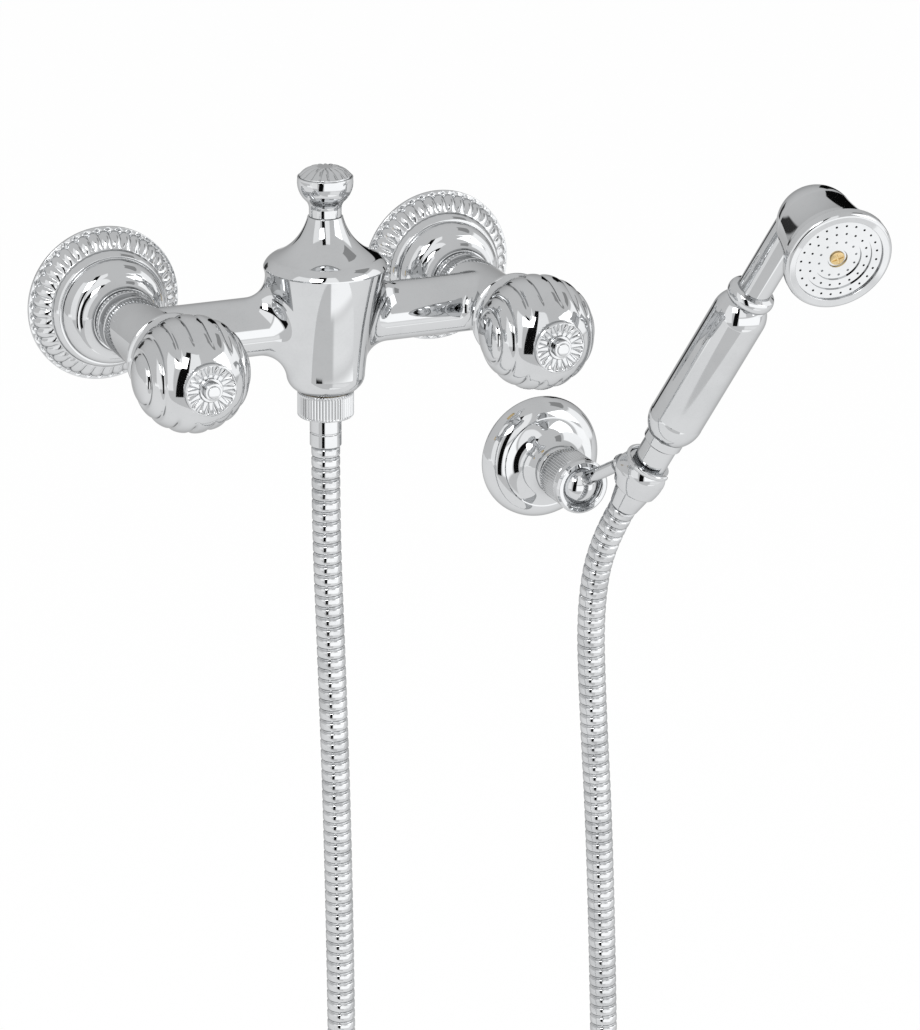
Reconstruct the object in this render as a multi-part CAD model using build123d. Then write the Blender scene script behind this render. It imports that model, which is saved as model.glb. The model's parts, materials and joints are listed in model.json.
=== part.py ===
from build123d import *

import os
from math import atan2, cos, degrees, pi, radians, sin, sqrt, tan

# A wall-mounted shower mixer in a classical style, with its hose, wall bracket and hand shower.
# Millimetres. The wall is the plane Y = 0, the room is on the -Y side, and Z points up.
# The origin is on the wall, midway between the two water pipes that the mixer screws into.
# "Out" means the distance from the wall, "rise" a height above the mixer's own inlet line.

# Fits
SEAT = 0.05                   # between turned pieces that seat in one another
RUN = 0.06                    # radial clearance of a turning stem
SCREW_PLAY = 0.3              # radial clearance of a screw in its hole
EDGE = 0.4                    # the small bevel on turned edges

# Mixer as a whole
INLET_CENTRES = 150.0         # between the two pipes in the wall
ECCENTRIC = 8.0               # the unions step up by this much from the pipes to the mixer
PIPE_THREAD_R = 10.478        # half-inch pipe thread
PIPE_TAIL = 16.0              # length of the tail that goes into the wall
WATERWAY_R = 6.5

# Union and its nut, outwards from the wall
UNION_BLOCK_R = 15.0
UNION_BLOCK = 12.0            # out of the block's front
UNION_WASHER = 2.0
TAIL_END = UNION_BLOCK + 15.0       # out of the mixer's tailpiece
TAIL_R = 8.2                  # tailpiece behind each leg
TAIL_COLLAR_R = 9.3
TAIL_COLLAR = 2.0
NUT_SLEEVE_R = 12.2
NUT_WALL = 0.85
UNION_THREAD_R = NUT_SLEEVE_R - NUT_WALL - SEAT
NUT_R = NUT_SLEEVE_R + 0.7
NUT_BACK = UNION_BLOCK + 3.5
NUT_BAND = TAIL_END + 1.2           # out of the beaded band's back edge
NUT_BEAD = 2.2                # length of the beads
NUT_BEADS = 44
NUT_BEAD_R = 0.55

# Wall flange
FLANGE_R = 32.8
FLANGE_RIM = 1.0
LOBE_OUTER_R = FLANGE_R - 1.5
LOBE_INNER_R = 25.0
LOBE_TOP = 8.4
LOBE_CROWN = 1.5              # how far the lobed band bulges
FLANGE_LOBES = 40
FLUTE_R = 1.1
FLANGE_STEP_R = LOBE_INNER_R - 1.8
FLANGE_STEP = 12.8
FLANGE_STEP_CROWN = 0.5
FLANGE_LEDGE = 1.0
FLANGE_DOME_R = 18.0
FLANGE_DOME = 20.4
FLANGE_DOME_CROWN = 1.2
FLANGE_NECK_SWEEP = -1.6
FLANGE_HEIGHT = NUT_BAND - 0.7
FLANGE_WALL = 1.3

# Legs and arms of the body
LEG_R = 13.0
LEG_BACK = TAIL_END + 11.0          # out of the leg's back shoulder
LEG = 36.0
LEG_FRONT = LEG_BACK + LEG
LEG_BEVEL = 0.8
LEG_FRONT_BEVEL = 1.5
LEG_FILLET = 5.0              # where the arms run into the legs
SEAT_OUT = LEG_BACK + 10.0          # out of the valve seat in each leg
ARM_OUT = LEG_BACK + 17.0           # wall to the axis of the cross arms
ARM_R = 12.2
ARM_FILLET = 12.0             # where the arms run into the bell

# Bell of the body
BODY_OUT = ARM_OUT + 6.0            # wall to the upright axis of the bell
BELL_FOOT = -28.5             # rise of the bell's flat underside
BELL_FOOT_R = 11.2
BELL_FOOT_CROWN = 1.4
BELL_LOW = BELL_FOOT + 7.0          # where the rounded foot meets the side
BELL_LOW_R = BELL_FOOT_R + 5.0
BELL_WAIST_R = 19.3
BELL_WAIST = 0.5              # rise at which the waist is measured
BELL_RIM = 24.6               # rise of the sharp rim round the shoulder
BELL_RIM_R = 25.4
BELL_RIM_BAND = 0.6
BELL_SHOULDER = BELL_RIM + 4.0
BELL_SHOULDER_R = BELL_RIM_R - 4.0
BELL_SHOULDER_CROWN = 0.6
BELL_TOP = 45.5
BELL_TOP_R = 7.2
BELL_TOP_SWEEP = -2.6
BELL_CHAMBER_R = 9.0
BELL_ROOF = 2.6               # from the chamber's roof to the rim

# Valve parts inside each leg
CARTRIDGE_R = 9.05            # threaded part of the valve's housing
COLLAR_R = 10.2               # the visible ring between leg and handle
COLLAR_FRONT = LEG_FRONT + 5.3
COLLAR_BEVEL = 1.0
STEM_R = 4.0
GUIDE_R = STEM_R + 2.4
GUIDE_FRONT = COLLAR_FRONT + 4.3
STEM_FOOT = 2.4
SEAL_DEEP = 0.9
SEAL_R = STEM_R - SEAL_DEEP   # bottom of the seal's groove
SEAL = 2.0
SEAL_BACK = COLLAR_FRONT - 6.0
DISC_R = CARTRIDGE_R - 1.45
DISC = 2.0
STEM_FOOT_R = DISC_R - 0.6
VALVE_CAVITY = 5.0            # room for the stem's foot in front of the discs
SEAT_WASHER = 2.0
PORT_R = 2.4

# Handle
HANDLE_BACK = COLLAR_FRONT + 1.1    # out of the back flange
HANDLE_R = 23.8
HANDLE_OUT = HANDLE_BACK + 24.6     # out of the ball's centre
RIDGE_DEPTH = 0.9
RIDGE_PITCH = 18.0            # degrees between the grooves
RIDGE_ROWS = 4                # grooves on each side of the middle
SMOOTH_SHIFT = 3.8            # the smooth front is a smaller ball, moved out by this
SMOOTH_R = HANDLE_R - 3.4
HANDLE_WAIST_R = 16.6
HANDLE_FLANGE_R = HANDLE_WAIST_R + 1.7
HANDLE_FLANGE = 1.5
HANDLE_WAIST = 3.2            # from the flange to the narrowest place
HANDLE_NECK = 1.2             # how much less than the flange the ball's foot is
INSERT_R = 7.0
INSERT_BACK = HANDLE_BACK + 4.0
STEM_FRONT = INSERT_BACK + 18.6
INSERT_FRONT = STEM_FRONT + 4.0
HANDLE_WEB = 4.0
POCKET_R = 5.2
SCREW_R = 1.9
SCREW_HEAD_R = 4.0
SCREW_HEAD = 2.6
SCREW_LENGTH = 15.0
SCREW_SLOT = 0.9
ROSETTE_R = 10.8
ROSETTE = 2.6
ROSETTE_DISH = 1.3
ROSETTE_FLUTES = 16
ROSETTE_PLUG = 3.0
ROSETTE_SOCKET = 0.8          # the button's seat above the ball's flat
BUTTON_R = 4.2
BUTTON_FRONT = HANDLE_OUT + 27.0
BUTTON_INNER_R = 2.8

# Finial on the bell
FINIAL_NECK_R = 6.65
FINIAL_NECK = 3.4
FINIAL_FLARE = 3.6
FINIAL_FLARE_R = FINIAL_NECK_R + 1.8
FINIAL_R = 11.4
FINIAL_BAND = 0.9
FINIAL_RIM = BELL_TOP + 16.7        # rise of the bulb's rim
FINIAL_STUD_R = 4.0
FINIAL_STUD = 8.0
CAP_R = FINIAL_R - 0.7
CAP_SEAT = 0.8
CAP_EDGE = 1.3
CAP_HEIGHT = 4.8
CAP_CROWN = 0.7
CAP_FLAT_R = 3.4
CAP_FLUTES = 16

# Outlet, hose nut and hose
NIPPLE_R = 8.4                # the nipple's thread in the body
NIPPLE_DEEP = 8.0
NIPPLE_BORE_R = 6.0
NIPPLE_REACH = 5.1
NIPPLE_END = BELL_FOOT - NIPPLE_REACH     # rise of the nipple's lower end
CHECK_VALVE = 9.0
CHECK_VALVE_R = 2.4
CHECK_VALVE_SEAT_R = 1.4
CHECK_VALVE_SEAT = 3.0
HOSE_WASHER = 1.85
FERRULE_FLANGE_R = 9.0
FERRULE_FLANGE = 1.8
FERRULE_R = 6.6
FERRULE_PLAY = 0.2
HOSE_NUT_R = 11.7
HOSE_NUT_BEVEL = 0.6
HOSE_NUT_GAP = 0.3
HOSE_NUT_TOP = BELL_FOOT - HOSE_NUT_GAP
HOSE_NUT_LIP = 2.3
HOSE_NUT_LEDGE = NIPPLE_END - HOSE_WASHER - FERRULE_FLANGE - SEAT
HOSE_NUT_FOOT = HOSE_NUT_LEDGE - HOSE_NUT_LIP
HOSE_NUT_KNURLS = 40
KNURL_R = 0.5
FERRULE_FOOT = HOSE_NUT_FOOT - 13.1
HOSE_R = 6.0
HOSE_BORE_R = 4.0
HOSE_VALLEY_R = 5.45
HOSE_RIBS = 196
HOSE_CREST = 0.5              # share of a rib that stands at full size

# Wall bracket
BRACKET_X = 124.5
BRACKET_RISE = -92.3
PLATE_R = 20.0
PLATE = 3.0
PLATE_BOSS_R = 6.0
PLATE_BOSS = 13.0
PLATE_HOLE_R = 2.6
PLATE_HOLE_CENTRES = 28.0
SOCKET_R = 8.6
SOCKET_BACK = PLATE + 2.0
ROSE_R = 27.2
ROSE_EDGE = 0.9
ROSE_CROWN = 1.6
ROSE_STEP_R = 20.4
ROSE_STEP = 9.4
ROSE_LEDGE = 0.6
ROSE_SWEEP = -2.2
ROSE_NECK_R = SOCKET_R + 1.1
ROSE_HEIGHT = 20.0
ROSE_GRIP = 4.0               # length of the rose's bore on the socket
ROSE_WALL = 1.3
SOCKET_BEAD_R = 10.6
SOCKET_BEAD_CROWN = 0.5
SOCKET_BEAD_FRONT = ROSE_HEIGHT + 4.4
SOCKET_THREAD_R = 9.6
SOCKET_FRONT = SOCKET_BEAD_FRONT + 11.2
GRUB_R = 1.6
GRUB_OUT = PLATE_BOSS - 3.0
BALL_OUT = SOCKET_FRONT + 4.4
BALL_R = 9.0
BALL_FLAT = 6.5
SEAT_RING_R = 8.2
SEAT_RING_BORE_R = 3.0
SEAT_RING_BACK = BALL_OUT - BALL_R
SEAT_RING_FRONT = SOCKET_FRONT + 0.8
CLAMP_R = 11.7
CLAMP_BACK = SOCKET_BEAD_FRONT + 2.2
CLAMP_KNURLS = 48
CLAMP_FRONT = BALL_OUT + 6.4
CLAMP_MOUTH_R = 7.8
CLAMP_RING_R = CLAMP_R + 0.3
CLAMP_RING = 4.4

# Swivel arm, cradle and hand shower
CRADLE_X = BRACKET_X + 16.6         # the centre of the cradle's rim
CRADLE_OUT = BALL_OUT + 38.0
CRADLE_RISE = BRACKET_RISE + 20.0
LEAN_SIDE = 17.4              # degrees the hand shower leans to the side
LEAN_OUT = 25.5               # degrees the hand shower leans out
SLOT_TURN = 66.8              # degrees from the spray face's side to the cradle's slot
ARM_ROD_R = 2.8
ARM_SEAT = -6.0               # where the rod meets the cradle, below its rim
CRADLE_R = 11.2
CRADLE_TOP_R = CRADLE_R - 0.3
CRADLE_FOOT_R = CRADLE_R - 1.0
CRADLE_HEIGHT = 15.0
CRADLE_LIP = 2.0
CRADLE_BELLY = 7.0            # how far down the cradle is widest
CRADLE_BORE_TOP_R = 9.45
CRADLE_BORE_FOOT_R = CRADLE_BORE_TOP_R - 0.9
CRADLE_SLOT = 12.6            # the hose goes in sideways through this
CRADLE_BOSS_R = 6.6           # the round boss that the rod is brazed to
CRADLE_BOSS = CRADLE_R - 5.0        # from the cradle's axis to the boss's centre
CRADLE_BOSS_DOWN = 7.5
CONE_GAP = 0.12
CONE_TOP = -1.5
CONE_FOOT = CONE_TOP - 24.5
CONE_FOOT_R = 6.4
CONE_THREAD_R = 7.0
SWIVEL_FLANGE_R = CONE_THREAD_R - 0.2
SWIVEL_FLANGE = 2.0
SWIVEL_SEAT = CONE_TOP - 14.5
SWIVEL_R = 5.2
SWIVEL_BORE_R = 3.6
GRIP_WASHER = 1.6
COUPLING_R = 7.45
COUPLING_BAND_R = 8.5
COUPLING_BAND = CONE_TOP + 12.5
GRIP_FOOT = COUPLING_BAND + 4.3
GRIP_R = 11.8
GRIP_END_R = 8.7
GRIP_ROUND = 10.5
GRIP_FOOT_CROWN = 1.1
GRIP_TOP_ROUND = GRIP_ROUND - 2.0
GRIP_TOP_CROWN = 0.9
GRIP_TOP = GRIP_FOOT + 74.7
GRIP_BORE_R = 6.2
COUPLING_SPIGOT = 8.0
TUBE_R = GRIP_BORE_R - 0.2
TUBE_BORE_R = 4.6
COLLAR_BEAD_R = 10.0
COLLAR_BEAD = 6.4
NECK_R = 7.35
NECK_BORE_R = 5.2
NECK_TOP = GRIP_TOP + 38.0
DOME_R = 16.4
DOME_UP = GRIP_TOP + 52.9           # the dome's centre along the grip
DOME_FRONT = 14.1             # the dome's centre in front of the grip's axis
FACE_UP = DOME_UP + 2.6             # the spray face's centre along the grip
FACE_FRONT = DOME_FRONT + 25.9
CUP_WALL = 2.0
CUP_FLARE = 4.0
CUP_SWEEP = -0.4
SPRAY_RING_LIP_R = 19.6
CUP_RIM_R = SPRAY_RING_LIP_R + 1.0
SPRAY_RING_R = CUP_RIM_R + 2.1
SPRAY_RING = 4.4
SPRAY_RING_LIP = 0.9
SPRAY_PLATE_R = SPRAY_RING_LIP_R - 0.4
SPRAY_PLATE = 1.6
SPRAY_STEP = 0.6
SPRAY_STEP_RS = (14.2, 9.9)
SPRAY_HOLES = ((16.3, 24), (12.2, 18), (7.9, 12))
SPRAY_HOLE_R = 0.5
SPRAY_GASKET = 1.0
SPRAY_BOSS_R = 3.2
SPRAY_SCREW_R = 1.6
SPRAY_SCREW_LENGTH = 12.0
SPRAY_SCREW_HEAD_R = 3.2
SPRAY_SCREW_SLOT = 0.7
SPRAY_RECESS_R = 4.2
SPRAY_RECESS = 0.7

# The hose's route between its two ferrules: x, out, rise. It hangs in one long loop.
HOSE_ROUTE = (
    (0.0, 61.0, -88.0),
    (2.2, 60.8, -140.0),
    (5.4, 60.2, -225.0),
    (8.0, 59.0, -340.0),
    (8.0, 58.0, -455.0),
    (5.6, 57.0, -535.0),
    (6.5, 56.2, -580.0),
    (31.9, 55.4, -615.0),
    (73.1, 54.4, -628.4),
    (114.4, 53.2, -615.0),
    (139.8, 52.2, -580.0),
    (141.6, 51.2, -535.0),
    (140.4, 50.2, -455.0),
    (137.5, 49.6, -345.0),
    (134.0, 49.2, -255.0),
    (129.2, 49.6, -190.0),
    (126.0, 52.2, -146.0),
)
HOSE_EXIT_RUN = 22.0          # straight out of the hand shower's cone


# Frames
def from_wall(x, z):
    """A frame on the wall whose own Z points straight out into the room."""
    return Plane(origin=(x, 0, z), x_dir=(1, 0, 0), z_dir=(0, -1, 0))


def turned_about(frame, angle):
    """The same frame, turned about its own Z by an angle in degrees."""
    x_dir = frame.x_dir * cos(radians(angle)) + frame.y_dir * sin(radians(angle))
    return Plane(origin=frame.origin, x_dir=x_dir, z_dir=frame.z_dir)


INLET_X = INLET_CENTRES / 2
BODY_FRAME = Plane(origin=(0, -BODY_OUT, ECCENTRIC), x_dir=(0, 1, 0), z_dir=(0, 0, 1))
ARM_FRAME = Plane(origin=(-INLET_X, -ARM_OUT, ECCENTRIC), x_dir=(0, 1, 0), z_dir=(1, 0, 0))
BRACKET_Z = ECCENTRIC + BRACKET_RISE
BRACKET_FRAME = from_wall(BRACKET_X, BRACKET_Z)
GRIP_AXIS = Vector(tan(radians(LEAN_SIDE)), -tan(radians(LEAN_OUT)), 1).normalized()
CRADLE_CENTRE = Vector(CRADLE_X, -CRADLE_OUT, ECCENTRIC + CRADLE_RISE)
STRAIGHT_OUT = (Vector(0, -1, 0) - GRIP_AXIS * Vector(0, -1, 0).dot(GRIP_AXIS)).normalized()
GRIP_FRAME = Plane(origin=CRADLE_CENTRE, x_dir=STRAIGHT_OUT, z_dir=GRIP_AXIS)
SLOT_FRAME = turned_about(GRIP_FRAME, SLOT_TURN)
BALL_CENTRE = Vector(BRACKET_X, -BALL_OUT, BRACKET_Z)
HOSE_X = Vector(0, 1, 0)


# Shapes
def lathe(*steps):
    """Turn an outline of (radius, height) steps about the local Z axis.

    A step of four numbers is an arc: a point that it goes through, then its end.
    """
    edges = []
    here = steps[0]
    for step in steps[1:] + steps[:1]:
        end = step[-2:]
        if end == here:
            continue
        first = (here[0], 0, here[1])
        last = (end[0], 0, end[1])
        if len(step) == 4:
            edges.append(ThreePointArc(first, (step[0], 0, step[1]), last))
        else:
            edges.append(Line(first, last))
        here = end
    return revolve(Face(Wire(edges)), Axis.Z)


def rod(radius, low, high):
    """A plain round rod along the local Z axis."""
    return Pos(0, 0, low) * Cylinder(radius, high - low, align=(Align.CENTER, Align.CENTER, Align.MIN))


def ring(outer, inner, low, high):
    """A plain tube along the local Z axis."""
    return lathe((inner, low), (outer, low), (outer, high), (inner, high))


def around(count, shape, first=0.0):
    """Copies of a shape, evenly spaced about the local Z axis."""
    return [Rot(0, 0, first + 360 * n / count) * shape for n in range(count)]


def placed(frame, shape):
    """A shape moved from its own axes to a frame of the object."""
    return frame.location * shape


def arc_bulge(start, end, bulge):
    """The middle of a shallow arc between two (radius, height) points."""
    across = (end[0] - start[0], end[1] - start[1])
    length = sqrt(across[0] ** 2 + across[1] ** 2)
    middle = ((start[0] + end[0]) / 2, (start[1] + end[1]) / 2)
    return (middle[0] + bulge * across[1] / length, middle[1] - bulge * across[0] / length)


def bulged(start, end, bulge):
    """A step of an outline along a shallow arc, for lathe."""
    return (*arc_bulge(start, end, bulge), *end)


def cap_middle(edge, top):
    """The middle of a round cap's outline, from a (radius, height) edge to its top on the axis."""
    centre = (edge[0] ** 2 + edge[1] ** 2 - top ** 2) / (2 * (edge[1] - top))
    radius = abs(top - centre)
    half = atan2(edge[0], abs(edge[1] - centre)) / 2
    return (radius * sin(half), centre + radius * cos(half) * (1 if top > centre else -1))


def sphere_height(radius, distance):
    """How far a ball's surface lies from its middle plane, at a distance from its axis."""
    return sqrt(radius ** 2 - distance ** 2)


def export(name, solid):
    """Write one node."""
    export_step(solid, f"parts/{name}.step")


# Mixer body
def bell():
    """The upright middle of the body, with its foot on the hose side and its sharp rim."""
    return lathe(
        (0, BELL_FOOT),
        (BELL_FOOT_R, BELL_FOOT),
        bulged((BELL_FOOT_R, BELL_FOOT), (BELL_LOW_R, BELL_LOW), BELL_FOOT_CROWN),
        (BELL_WAIST_R, BELL_WAIST, BELL_RIM_R, BELL_RIM - BELL_RIM_BAND),
        (BELL_RIM_R, BELL_RIM),
        bulged((BELL_RIM_R, BELL_RIM), (BELL_SHOULDER_R, BELL_SHOULDER), BELL_SHOULDER_CROWN),
        bulged((BELL_SHOULDER_R, BELL_SHOULDER), (BELL_TOP_R, BELL_TOP), BELL_TOP_SWEEP),
        (0, BELL_TOP),
    )


def leg():
    """One leg, from the end of its tailpiece to its front face."""
    return lathe(
        (0, TAIL_END),
        (TAIL_COLLAR_R, TAIL_END),
        (TAIL_COLLAR_R, TAIL_END + TAIL_COLLAR),
        (TAIL_R, TAIL_END + TAIL_COLLAR),
        (TAIL_R, LEG_BACK),
        (LEG_R - LEG_BEVEL, LEG_BACK),
        (LEG_R, LEG_BACK + LEG_BEVEL),
        (LEG_R, LEG_FRONT - LEG_FRONT_BEVEL),
        (LEG_R - LEG_BEVEL, LEG_FRONT),
        (0, LEG_FRONT),
    )


def joints_between(body, low, high):
    """The loops where the arms meet another part of the body, at this distance from the middle."""
    loops = []
    for edge in body.edges():
        box = edge.bounding_box()
        wraps = box.size.Z > 1.8 * ARM_R and 1 < box.size.X < 1.5 * ARM_R
        if wraps and low < abs(edge.center().X) < high:
            loops.append(edge)
    return loops


def mixer_body():
    """Bell, cross arms and legs in one casting, with its waterways."""
    body = placed(BODY_FRAME, bell()) + placed(ARM_FRAME, rod(ARM_R, 0, INLET_CENTRES))
    body = fillet(joints_between(body, BELL_FOOT_R, BELL_RIM_R), ARM_FILLET)
    body += placed(from_wall(INLET_X, ECCENTRIC), leg())
    body += placed(from_wall(-INLET_X, ECCENTRIC), Rot(0, 0, 180) * leg())
    body = fillet(joints_between(body, INLET_X - LEG_R - 1, INLET_X - 2), LEG_FILLET)
    cuts = [
        placed(BODY_FRAME, rod(BELL_CHAMBER_R, BELL_FOOT + NIPPLE_DEEP, BELL_RIM - BELL_ROOF)),
        placed(BODY_FRAME, rod(NIPPLE_R + SEAT, BELL_FOOT, BELL_FOOT + NIPPLE_DEEP)),
        placed(BODY_FRAME, rod(FINIAL_STUD_R + SEAT, BELL_TOP - FINIAL_STUD - 1, BELL_TOP)),
        placed(ARM_FRAME, rod(WATERWAY_R, 0, INLET_CENTRES)),
    ]
    for side in (-1, 1):
        inlet = from_wall(side * INLET_X, ECCENTRIC)
        cuts.append(placed(inlet, rod(WATERWAY_R, TAIL_END, SEAT_OUT)))
        cuts.append(placed(inlet, rod(CARTRIDGE_R + SEAT, SEAT_OUT, LEG_FRONT)))
    return body - cuts


def finial():
    """The turned knob that closes the top of the bell, screwed in by its stud."""
    foot = BELL_TOP
    neck = foot + FINIAL_NECK
    flare = (FINIAL_FLARE_R, neck + FINIAL_FLARE)
    rim = (FINIAL_R, FINIAL_RIM - FINIAL_BAND)
    return lathe(
        (0, foot - FINIAL_STUD),
        (FINIAL_STUD_R, foot - FINIAL_STUD),
        (FINIAL_STUD_R, foot),
        (FINIAL_NECK_R, foot),
        (FINIAL_NECK_R, neck),
        bulged((FINIAL_NECK_R, neck), flare, -0.4),
        bulged(flare, rim, 1.1),
        (FINIAL_R, FINIAL_RIM),
        (CAP_R + SEAT, FINIAL_RIM),
        (CAP_R + SEAT, FINIAL_RIM - CAP_SEAT),
        (0, FINIAL_RIM - CAP_SEAT),
    )


def finial_cap():
    """The fluted cap pressed into the finial's rim."""
    foot = FINIAL_RIM - CAP_SEAT
    edge = (CAP_R, foot + CAP_EDGE)
    top = (CAP_FLAT_R, foot + CAP_HEIGHT)
    cap = lathe((0, foot), (CAP_R, foot), edge, bulged(edge, top, CAP_CROWN), (0, foot + CAP_HEIGHT))
    slope = degrees(atan2(top[1] - edge[1], edge[0] - top[0]))
    length = edge[0] - top[0]
    flute = Pos((edge[0] + top[0]) / 2 + 0.6, 0, (edge[1] + top[1]) / 2 + 1.5)
    flute = flute * Rot(0, 90 + slope, 0) * Cone(0.5, 1.5, length)
    return cap - around(CAP_FLUTES, flute)


# Outlet and hose end
def outlet_nipple():
    """The threaded nipple under the bell."""
    return lathe(
        (NIPPLE_BORE_R, NIPPLE_END),
        (PIPE_THREAD_R, NIPPLE_END),
        (PIPE_THREAD_R, BELL_FOOT),
        (NIPPLE_R, BELL_FOOT),
        (NIPPLE_R, BELL_FOOT + NIPPLE_DEEP),
        (NIPPLE_BORE_R, BELL_FOOT + NIPPLE_DEEP),
    )


def outlet_check_valve():
    """The plastic non-return valve pushed into the nipple."""
    foot = NIPPLE_END + 0.6
    return lathe(
        (CHECK_VALVE_R, foot),
        (NIPPLE_BORE_R - SEAT, foot),
        (NIPPLE_BORE_R - SEAT, foot + CHECK_VALVE),
        (CHECK_VALVE_SEAT_R, foot + CHECK_VALVE),
        (CHECK_VALVE_SEAT_R, foot + CHECK_VALVE - CHECK_VALVE_SEAT),
        (CHECK_VALVE_R, foot + CHECK_VALVE - CHECK_VALVE_SEAT),
    )


def hose_nut():
    """The knurled nut that holds the hose to the nipple."""
    hole = FERRULE_R + FERRULE_PLAY
    thread = PIPE_THREAD_R + SEAT
    nut = lathe(
        (hole, HOSE_NUT_FOOT),
        (HOSE_NUT_R - HOSE_NUT_BEVEL, HOSE_NUT_FOOT),
        (HOSE_NUT_R, HOSE_NUT_FOOT + HOSE_NUT_BEVEL),
        (HOSE_NUT_R, HOSE_NUT_TOP - HOSE_NUT_BEVEL),
        (HOSE_NUT_R - HOSE_NUT_BEVEL, HOSE_NUT_TOP),
        (thread, HOSE_NUT_TOP),
        (thread, HOSE_NUT_LEDGE),
        (hole, HOSE_NUT_LEDGE),
    )
    groove = Pos(HOSE_NUT_R + 0.1, 0, 0) * rod(KNURL_R, HOSE_NUT_FOOT, HOSE_NUT_TOP)
    return nut - around(HOSE_NUT_KNURLS, groove)


def hose_ferrule():
    """The crimped end of the hose, with the flange that the nut pulls on."""
    flange = HOSE_NUT_LEDGE + SEAT
    return lathe(
        (HOSE_BORE_R, FERRULE_FOOT),
        (FERRULE_R - EDGE, FERRULE_FOOT),
        (FERRULE_R, FERRULE_FOOT + EDGE),
        (FERRULE_R, flange),
        (FERRULE_FLANGE_R, flange),
        (FERRULE_FLANGE_R, flange + FERRULE_FLANGE),
        (HOSE_BORE_R, flange + FERRULE_FLANGE),
    )


def hose_washer():
    """The rubber washer between nipple and ferrule."""
    return ring(FERRULE_FLANGE_R, HOSE_BORE_R + 0.6, NIPPLE_END - HOSE_WASHER, NIPPLE_END)


# Hose
def hose_points():
    """The corners of the hose's route in the object's own axes."""
    start = Vector(0, -BODY_OUT, ECCENTRIC + FERRULE_FOOT)
    cone = CRADLE_CENTRE + GRIP_AXIS * CONE_FOOT
    route = [Vector(x, -out, ECCENTRIC + rise) for x, out, rise in HOSE_ROUTE]
    return [start, *route, cone - GRIP_AXIS * HOSE_EXIT_RUN, cone]


def corner_radii(points):
    """The largest arc that each corner's two runs allow."""
    radii = []
    for before, corner, after in zip(points, points[1:], points[2:]):
        turn = (corner - before).get_angle(after - corner)
        shorter = min((corner - before).length, (after - corner).length)
        radii.append(0.45 * shorter / tan(radians(turn) / 2))
    return radii


def hose_path():
    """Straight runs joined by arcs, from the mixer to the hand shower."""
    points = hose_points()
    return FilletPolyline(*points, radius=corner_radii(points))


def hose_circle(path, share, radius):
    """A circle square to the route at a share of its length, all with one steady X axis."""
    return Wire(
        Edge.make_circle(
            radius, Plane(origin=path.position_at(share), x_dir=HOSE_X, z_dir=path.tangent_at(share))
        )
    )


def shower_hose():
    """The metal hose: one ruled loft through four circles a rib, less its bore."""
    path = hose_path()
    straight = 2 * HOSE_R / path.length
    pitch = (1 - 2 * straight) / HOSE_RIBS
    shoulder = (1 - HOSE_CREST) / 4
    marks = [(0.0, HOSE_VALLEY_R)]
    for rib in range(HOSE_RIBS):
        start = straight + rib * pitch
        marks.append((start + 0.06 * pitch, HOSE_VALLEY_R))
        marks.append((start + shoulder * pitch, HOSE_R))
        marks.append((start + (shoulder + HOSE_CREST) * pitch, HOSE_R))
        marks.append((start + 0.94 * pitch, HOSE_VALLEY_R))
    marks.append((1.0, HOSE_VALLEY_R))
    outer = Solid.make_loft([hose_circle(path, share, radius) for share, radius in marks], True)
    bore_marks = [n / (2 * HOSE_RIBS) for n in range(2 * HOSE_RIBS + 1)]
    bore = Solid.make_loft([hose_circle(path, share, HOSE_BORE_R) for share in bore_marks], True)
    return outer - bore


# Wall unions
def eccentric_union():
    """The stepped union: a tail into the wall, a block, and a thread for the nut. Local X, Y = wall."""
    step = Pos(0, ECCENTRIC, 0)
    union = rod(PIPE_THREAD_R, -PIPE_TAIL, 0.5)
    union += Pos(0, ECCENTRIC / 2, 0) * rod(UNION_BLOCK_R, 0.3, UNION_BLOCK)
    union += step * rod(UNION_THREAD_R, UNION_BLOCK, TAIL_END - UNION_WASHER)
    middle = UNION_BLOCK / 2
    union -= rod(WATERWAY_R, -PIPE_TAIL, middle + 2)
    union -= step * rod(WATERWAY_R, middle - 2, TAIL_END - UNION_WASHER)
    return union


def union_nut():
    """The nut that pulls the mixer's tailpiece onto the union, with a beaded band."""
    lip = TAIL_END + TAIL_COLLAR + SEAT
    front = LEG_BACK - SEAT
    thread = UNION_THREAD_R + SEAT
    nut = lathe(
        (thread, NUT_BACK),
        (NUT_SLEEVE_R, NUT_BACK),
        (NUT_SLEEVE_R, NUT_BAND),
        (NUT_R, NUT_BAND),
        (NUT_R, front - EDGE),
        (NUT_R - EDGE, front),
        (TAIL_R + SEAT, front),
        (TAIL_R + SEAT, lip),
        (thread, lip),
    )
    notch = Pos(NUT_R + 0.1, 0, 0) * rod(NUT_BEAD_R, NUT_BAND, NUT_BAND + NUT_BEAD)
    return nut - around(NUT_BEADS, notch)


def union_washer():
    """The fibre washer between the tailpiece and the union."""
    return ring(TAIL_COLLAR_R, WATERWAY_R, TAIL_END - UNION_WASHER, TAIL_END)


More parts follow.
